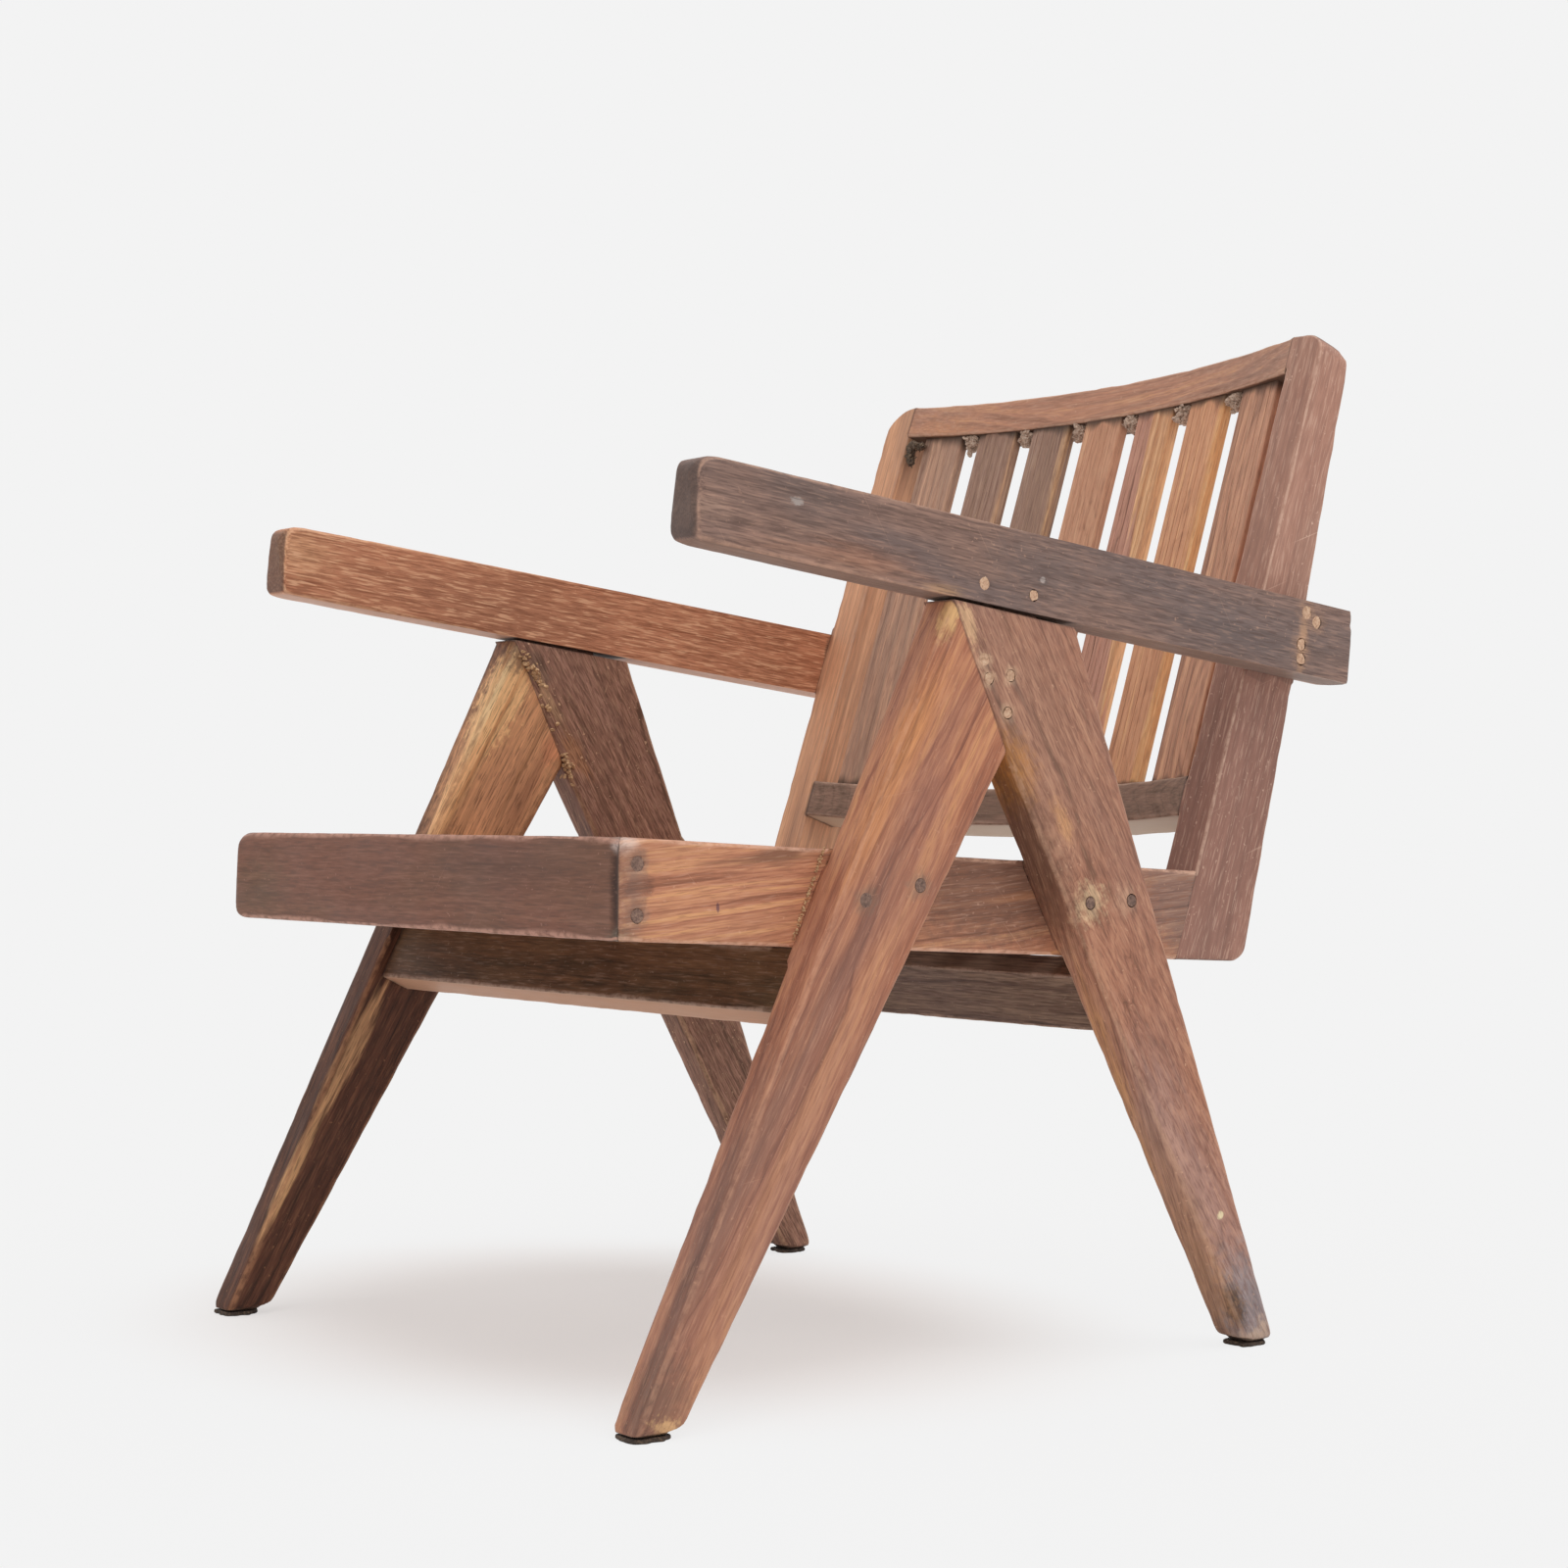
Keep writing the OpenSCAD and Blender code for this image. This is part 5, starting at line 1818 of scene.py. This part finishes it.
def far_side() -> SideFrame:
    """Describes the side frame on the sitter's right.

    Returns:
        The side frame with its finishes.
    """
    arm = OiledTeak(
        "right_arm", ARM_GRAIN, (-160, 0, 640), "#985d42", "#bc7d5d", "#cc8b6a", "#e1a07b",
        ring_mm=4.0, ripple_mm=3.0, curl_mm=1.0, contrast=0.4, fibre=0.7, pores=0.3, pore="#7d4c36",
        # Its faces that look down get painted light bounced from the floor
        flecks=0.65, dust=0.4, tint="#b0785a", tint_amount=0.4, worn="#f0bc96", worn_mm=1.2, under="#e1bca6",
        under_amount=0.6, end="#4d3f3a", seed=11.0,
        marks=(Mark((-250, -110, 536), (90, 20), "#a06d54", 0.45, 0.9, 0.8),
               Mark((-250, -292, 572), (24, 16), "#e1ac82", 0.5, 1.2, 0.8)))
    front_leg = OiledTeak(
        "right_front_leg", FRONT_LEG_GRAIN, (-210, -250, 280), "#40271d", "#533528", "#623d2e",
        "#794f3b", ring_mm=9.0, ripple_mm=9.0, contrast=0.7, fibre=0.6, pores=0.3, pore="#3a231a",
        dust=0.55, tint="#503126", tint_amount=0.4, worn="#b17d5b", worn_mm=1.4, grime_mm=1.0,
        grime_and_shade_amount=0.4, seed=13.0,
        marks=(Mark((-250, -95, 432), (125, 48), "#e7a97c", 0.9, 0.4, 0.4),
               Mark((-250, -140, 420), (110, 10), "#ffc690", 0.95, 0.5, 0.3),
               Mark((-250, -112, 468), (46, 20), "#fdc991", 0.95, 1.0, 0.25),
               Mark((-250, -136, 440), (90, 4), "#ffdca8", 0.8, 0.8, 0.4),
               Mark((-250, -112, 392), (40, 22), "#b57f62", 0.4, 0.9, 0.6),
               Mark((-250, -120, 440), (70, 2.0), "#c28153", 0.7, 0.8, 0.6),
               Mark((-250, -88, 420), (60, 2.0), "#b47f5a", 0.7, 0.8, 0.6),
               Mark((-250, -96, 505), (16, 11), "#81624e", 0.8, 1.4, 0.5),
               Mark((-250, -84, 400), (50, 6), "#a06c51", 0.6, 0.8, 0.7),
               Mark((-250, -62, 428), (14, 9), "#dd936c", 0.7, 1.2, 0.5),
               Mark((-250, -250, 184), (60, 6), "#eab483", 0.7, 1.4, 0.5),
               Mark((-250, -300, 95), (60, 5), "#fac18b", 0.7, 1.4, 0.5)))
    rear_leg = OiledTeak(
        "right_rear_leg", REAR_LEG_GRAIN, (-205, 70, 420), "#674838", "#886251", "#966c59", "#b38571",
        ring_mm=5.0, ripple_mm=4.0, contrast=0.6, fibre=0.7, lines=0.7, pores=0.4, pore="#624437",
        dust=0.8, tint="#987265", worn="#edc29b", worn_mm=1.0, worn_amount=0.35, grime_mm=1.0,
        grime_and_shade_amount=0.4, seed=17.0,
        marks=(Mark((-250, -78, 492), (14, 9), "#7f6556", 0.7, 1.6, 0.5),
               Mark((-250, -70, 470), (26, 5), "#cca47d", 0.5, 1.8, 0.5),
               Mark((-250, -42, 425), (22, 7), "#be855e", 0.6, 1.6, 0.5)))
    return SideFrame(Facing.RIGHT, arm, front_leg, rear_leg)


def seat() -> SeatFrame:
    """Describes the seat.

    Returns:
        The seat with its finishes.
    """
    front = OiledTeak(
        "seat_front_rail", RAIL_GRAIN, (0, -260, 420), "#654234", "#7b5242", "#845847", "#966954",
        ring_mm=9.0, ripple_mm=9.0, contrast=0.4, fibre=0.2, lines=0.15, pores=0.25, pore="#563f37",
        flecks=0.1, dust=0.35, tint="#735440", tint_amount=0.5, worn="#c79683", worn_mm=2.6,
        worn_amount=0.85, grime_mm=0.8, grime_and_shade_amount=0.3, seed=19.0,
        # The first two marks are painted shade on the rounded front corner, the third a painted highlight on
        # its top
        marks=(Mark((250, -341, 328), (7, 36), "#3c2d29", 0.9, 0.25, 0.5),
               Mark((257, -341, 328), (7, 38), "#756560", 0.6, 0.2, 0.8),
               Mark((250, -340, 361), (7, 8), "#f0dbd2", 0.9, 0.3, 0.8),
               Mark((253, -338, 298), (12, 6), "#7d7568", 0.8, 0.6, 0.7),
               Mark((-215, -341, 325), (34, 16), "#66543f", 0.45, 1.1, 0.9),
               Mark((120, -341, 340), (60, 14), "#6f4d42", 0.45, 1.1, 0.9)))
    left = OiledTeak(
        "seat_left_rail", in_side_view(5.0), (225, 0, 400), "#97634c", "#bd7e61", "#ce8f6d", "#e5a978",
        ring_mm=6.0, ripple_mm=7.0, contrast=0.75, fibre=0.55, pores=0.3, pore="#9c6a51", dust=0.3,
        tint="#ab795d", tint_amount=0.4, worn="#f3c3a8", worn_mm=1.6, grime_mm=0.8,
        grime_and_shade_amount=0.25, seed=23.0,
        # A painted highlight on the top of the front corner
        marks=(Mark((250, -338, 360), (11, 8), "#fbe6da", 0.9, 0.3, 0.8),
               Mark((250, -335, 325), (9, 40), "#8a6c60", 0.5, 0.4, 0.8),
               Mark((250, -341, 298), (9, 6), "#8a7a68", 0.7, 0.6, 0.7),
               Mark((250, -327, 329), (7, 15), "#87695d", 0.6, 1.5, 0.6),
               Mark((250, -318, 329), (4, 5), "#6d4e44", 0.5, 1.5, 0.6),
               Mark((250, -220, 348), (40, 5), "#5f4339", 0.65, 1.4, 0.6),
               Mark((250, -266, 316), (1.2, 3.0), "#6d4b55", 0.8, 0.4),
               # Painted shade on the rail between the legs, under the arm
               Mark((250, -20, 332), (100, 44), "#7d5b4d", 0.85, 0.5, 0.5),
               Mark((250, 5, 322), (46, 3), "#b27a58", 0.6, 1.0, 0.6),
               Mark((250, 150, 325), (55, 50), "#8a7067", 0.8, 0.6, 0.5),
               *smears("left_corner_plugs", "#8a6e61", 8.0, 0.5)))
    right = OiledTeak(
        "seat_right_rail", SEAT_LEVEL, (-225, 0, 400), "#5f4034", "#8a5f4c", "#9c6f58", "#b38668",
        ring_mm=7.0, pore="#5f4034", seed=29.0)
    rear = OiledTeak(
        "seat_rear_rail", RAIL_GRAIN, (0, 60, 420), "#5a4238", "#74564a", "#86665a", "#9c7c6b",
        ring_mm=7.0, seed=31.0)
    slats = tuple(
        OiledTeak(f"seat_slat_{i + 1}", SEAT_LEVEL, (60 * (i - 3) + 25, 0, 290 + 9 * i), *tones,
                  ring_mm=7.0, ripple_mm=6.0, contrast=0.9, pore=tones[0], seed=37.0 + 2 * i)
        for i, tones in enumerate((
            ("#614437", "#896350", "#9b7460", "#b58e74"), ("#5b463d", "#7d6257", "#8d7165", "#a3877a"),
            ("#6b4738", "#97684f", "#ae7c5f", "#c69a72"), ("#5d4439", "#80604f", "#937160", "#aa8873"),
            ("#684538", "#8f6450", "#a4765e", "#be9270"), ("#5a4339", "#7a5d50", "#8b6d60", "#a18372"),
            ("#634639", "#8b6552", "#9e7661", "#b89077"))))
    return SeatFrame(front, left, right, rear, slats)


def cross_rails() -> CrossRails:
    """Describes the rails under the seat.

    Returns:
        The two rails with their finishes.
    """
    front = OiledTeak(
        "front_cross_rail", RAIL_GRAIN, (0, -140, 230), "#4a3221", "#62422d", "#724c34", "#8c6243",
        ring_mm=5.0, ripple_mm=4.0, contrast=0.8, fibre=0.6, pores=0.2, pore="#40291b", tint="#695239",
        # Its faces that look down get painted light bounced from the floor
        tint_amount=0.4, under="#dfad8e", under_amount=0.9, seed=41.0)
    rear = OiledTeak(
        "rear_cross_rail", RAIL_GRAIN, (0, 100, 340), "#513b31", "#705445", "#7e6453", "#957762",
        ring_mm=4.0, ripple_mm=3.0, contrast=0.9, fibre=0.9, pores=0.3, pore="#4a352a", seed=43.0)
    return CrossRails(front, rear)


def back() -> Back:
    """Describes the back.

    Returns:
        The back with its finishes.
    """
    left_stile = OiledTeak(
        "left_stile", BACK_GRAIN, (150, 200, 500), "#8a6150", "#a67a6a", "#b78774", "#cd9d89",
        ring_mm=6.0, ripple_mm=4.0, contrast=0.25, fibre=0.22, lines=0.1, pores=0.2, pore="#886355",
        flecks=0.25, dust=0.6, tint="#b18c7b", tint_amount=0.4, worn="#f2ccb5", worn_mm=0.9,
        worn_amount=0.45, grime_mm=0.8, grime_and_shade_amount=0.25, seed=47.0,
        # The stile's lower part, below the arm, is darkened by a painted shadow of the arm
        marks=(Mark((250, 190, 370), (150, 50), "#946b5e", 0.8, 0.4, 0.5),))
    right_stile = OiledTeak(
        "right_stile", BACK_GRAIN, (-170, 180, 500), "#a6775d", "#cb9777", "#e3a882", "#ffc99d",
        ring_mm=6.0, ripple_mm=5.0, contrast=0.4, fibre=0.3, lines=0.3, pores=0.2, pore="#a6775d",
        worn_mm=1.0, worn_amount=0.4, seed=53.0)
    top_rail = OiledTeak(
        "back_top_rail", RAIL_GRAIN, (0, 190, 650), "#946853", "#b6866f", "#c79076", "#dca57d",
        ring_mm=7.0, ripple_mm=9.0, curl_mm=3.0, contrast=0.6, fibre=0.25, pores=0.2, pore="#976c56",
        tint="#ad897a", tint_amount=0.4, worn="#edc9ae", worn_mm=1.0, worn_amount=0.4,
        # Its faces that look down get painted shade, and its joints with the slats dirt and painted shade
        grime_and_shade="#4b3b31", grime_mm=1.5, seed=59.0, under="#534236", under_amount=0.9, lines=0.35,
        knots=(Knot((-32, 281, 710), (26, 10), 14.0, "#7c665b", 0.75),),
        marks=(Mark((-32, 281, 710), (16, 12), "#8e7465", 0.6, 1.0, 0.8),
               Mark((20, 281, 714), (50, 12), "#a48777", 0.5, 1.0, 0.8),
               Mark((-160, 281, 714), (40, 14), "#d99869", 0.5, 1.0, 0.8),
               Mark((-95, 281, 716), (45, 3), "#8a614c", 0.6, 1.0, 0.6, -12),
               Mark((-70, 281, 706), (40, 2.5), "#8a614c", 0.6, 1.0, 0.6, -14),
               Mark((150, 281, 714), (90, 18), "#aa897a", 0.5, 0.9, 0.8)))
    bottom_rail = OiledTeak(
        "back_bottom_rail", RAIL_GRAIN, (0, 120, 420), "#745a4c", "#886e5e", "#987867", "#af8d7a",
        ring_mm=5.0, ripple_mm=4.0, contrast=0.5, fibre=0.4, pores=0.2, pore="#6b5348",
        # Its faces that look down get painted light bounced from the floor
        under="#e1c8af", under_amount=0.85, seed=61.0)
    slats = tuple(
        OiledTeak(f"back_slat_{i + 1}", BACK_GRAIN, (61 * (i - 3) + side, 190 + 6 * i, 560), *tones,
                  ring_mm=ring, ripple_mm=8.0, curl_mm=3.0, contrast=contrast, fibre=0.4, lines=0.35,
                  pores=0.25, pore=tones[0], tint=tones[1], worn="#d9b792", worn_mm=1.0,
                  # Below the top rail the slats get dirt and a band of painted shadow cast by the rail
                  worn_amount=0.5, grime_and_shade="#3d3129", grime_mm=9.0, grime_and_shade_amount=0.85,
                  sapwood=sapwood, knots=tuple(knots), seed=67.0 + 3 * i)
        for i, (tones, side, ring, contrast, sapwood, *knots) in enumerate((
            (("#926d5c", "#b18e7b", "#c49880", "#e4b597"), 40, 6.0, 0.6, None),
            (("#7a5e50", "#9c7b69", "#a58170", "#b99987"), -40, 5.0, 0.5,
             Sapwood((-104, 200, 560), (1, 0, 0), "#be9071", "#e2b58f", 2.5)),
            (("#7b5f52", "#9f7e6c", "#a88472", "#b99b8b"), 50, 5.0, 0.5,
             Sapwood((-42, 200, 560), (1, 0, 0), "#c2936c", "#efc091", 2.5)),
            (("#a1735b", "#cb9476", "#d8a182", "#f1be96"), 30, 6.0, 0.6, None),
            (("#9c7160", "#c6907a", "#d29b87", "#f5be99"), -25, 8.0, 0.8,
             Sapwood((68, 210, 590), (1, 0, 0.1), "#d79b6c", "#ffcc99", 2.5)),
            (("#a9745a", "#d69a76", "#e5a882", "#ffcc94"), 20, 9.0, 0.8,
             Sapwood((139, 200, 560), (1, 0, 0), "#e6a66f", "#ffce97", 2.5),
             Knot((126, 240, 560), (40, 9), 16.0, "#bc805b", 0.4)),
            (("#9d715d", "#c18f75", "#d59d81", "#f4be97"), -45, 9.0, 0.8, None,
             Knot((180, 262, 628), (44, 9), 16.0, "#775d51", 0.55),
             Knot((188, 205, 450), (40, 12), 14.0, "#886757", 0.4)))))
    return Back(left_stile, right_stile, top_rail, bottom_rail, slats)


def residues() -> tuple[Residue, ...]:
    """Describes the crumbs of filler and dirt that stuck in corners.

    Returns:
        The crumbs of each place.
    """
    tan = filler("tan_crumbs", "#cfa67c", "#a37d5a", "#e6c79c")
    dirt = filler("dirt_crumbs", "#635040", "#35291f", "#967f66")
    clay = filler("old_clay", "#c8ad99", "#967b69", "#dcc5b3")
    places, sizes = zip(*(box_place(f"back_slat_{i}") for i in range(1, 8)))
    # Each gap between two back slats is filled from 9 to 17 mm below the slats' upper ends
    gaps = []
    for left, right in zip(places, places[1:]):
        middle = (left.translation + right.translation) / 2
        ends = (middle + left.col[2].xyz * (sizes[0].z / 2 - depth * MM) for depth in (9.0, 17.0))
        gaps.append(tuple(tuple(end / MM) for end in ends))
    return (
        Residue("rail_joint_crumbs", (((250.6, -183, 353), (250.6, -208, 294)),), 110, 0.9, 1.0, tan, 3),
        Residue("fork_crumbs", (((-249.6, -99, 505), (-249.6, -77, 485)),
                                ((-249.6, -80, 488), (-249.6, -62, 440)),
                                ((-249.6, -56, 425), (-249.6, -44, 400))), 26, 2.2, 5.0, tan, 5),
        Residue("corner_dirt", (((-216, 282, 699), (-200, 282, 698)), ((-213, 281, 697), (-211, 278, 684))),
                34, 3.4, 2.6, dirt, 7),
        Residue("slat_gap_fillings", tuple(gaps), 80, 3.2, 4.2, clay, 9))


def main() -> None:
    """Builds the studio and every piece of the chair."""
    logging.basicConfig(level=logging.INFO, format="%(message)s")
    Studio().build()
    surroundings = Surroundings(frame["nodes"])
    for assembly in (near_side(), far_side(), seat(), cross_rails(), back()):
        log.info("%s", type(assembly).__name__)
        assembly.build(surroundings)
    for residue in residues():
        residue.build()


if __name__ == "__main__":
    main()
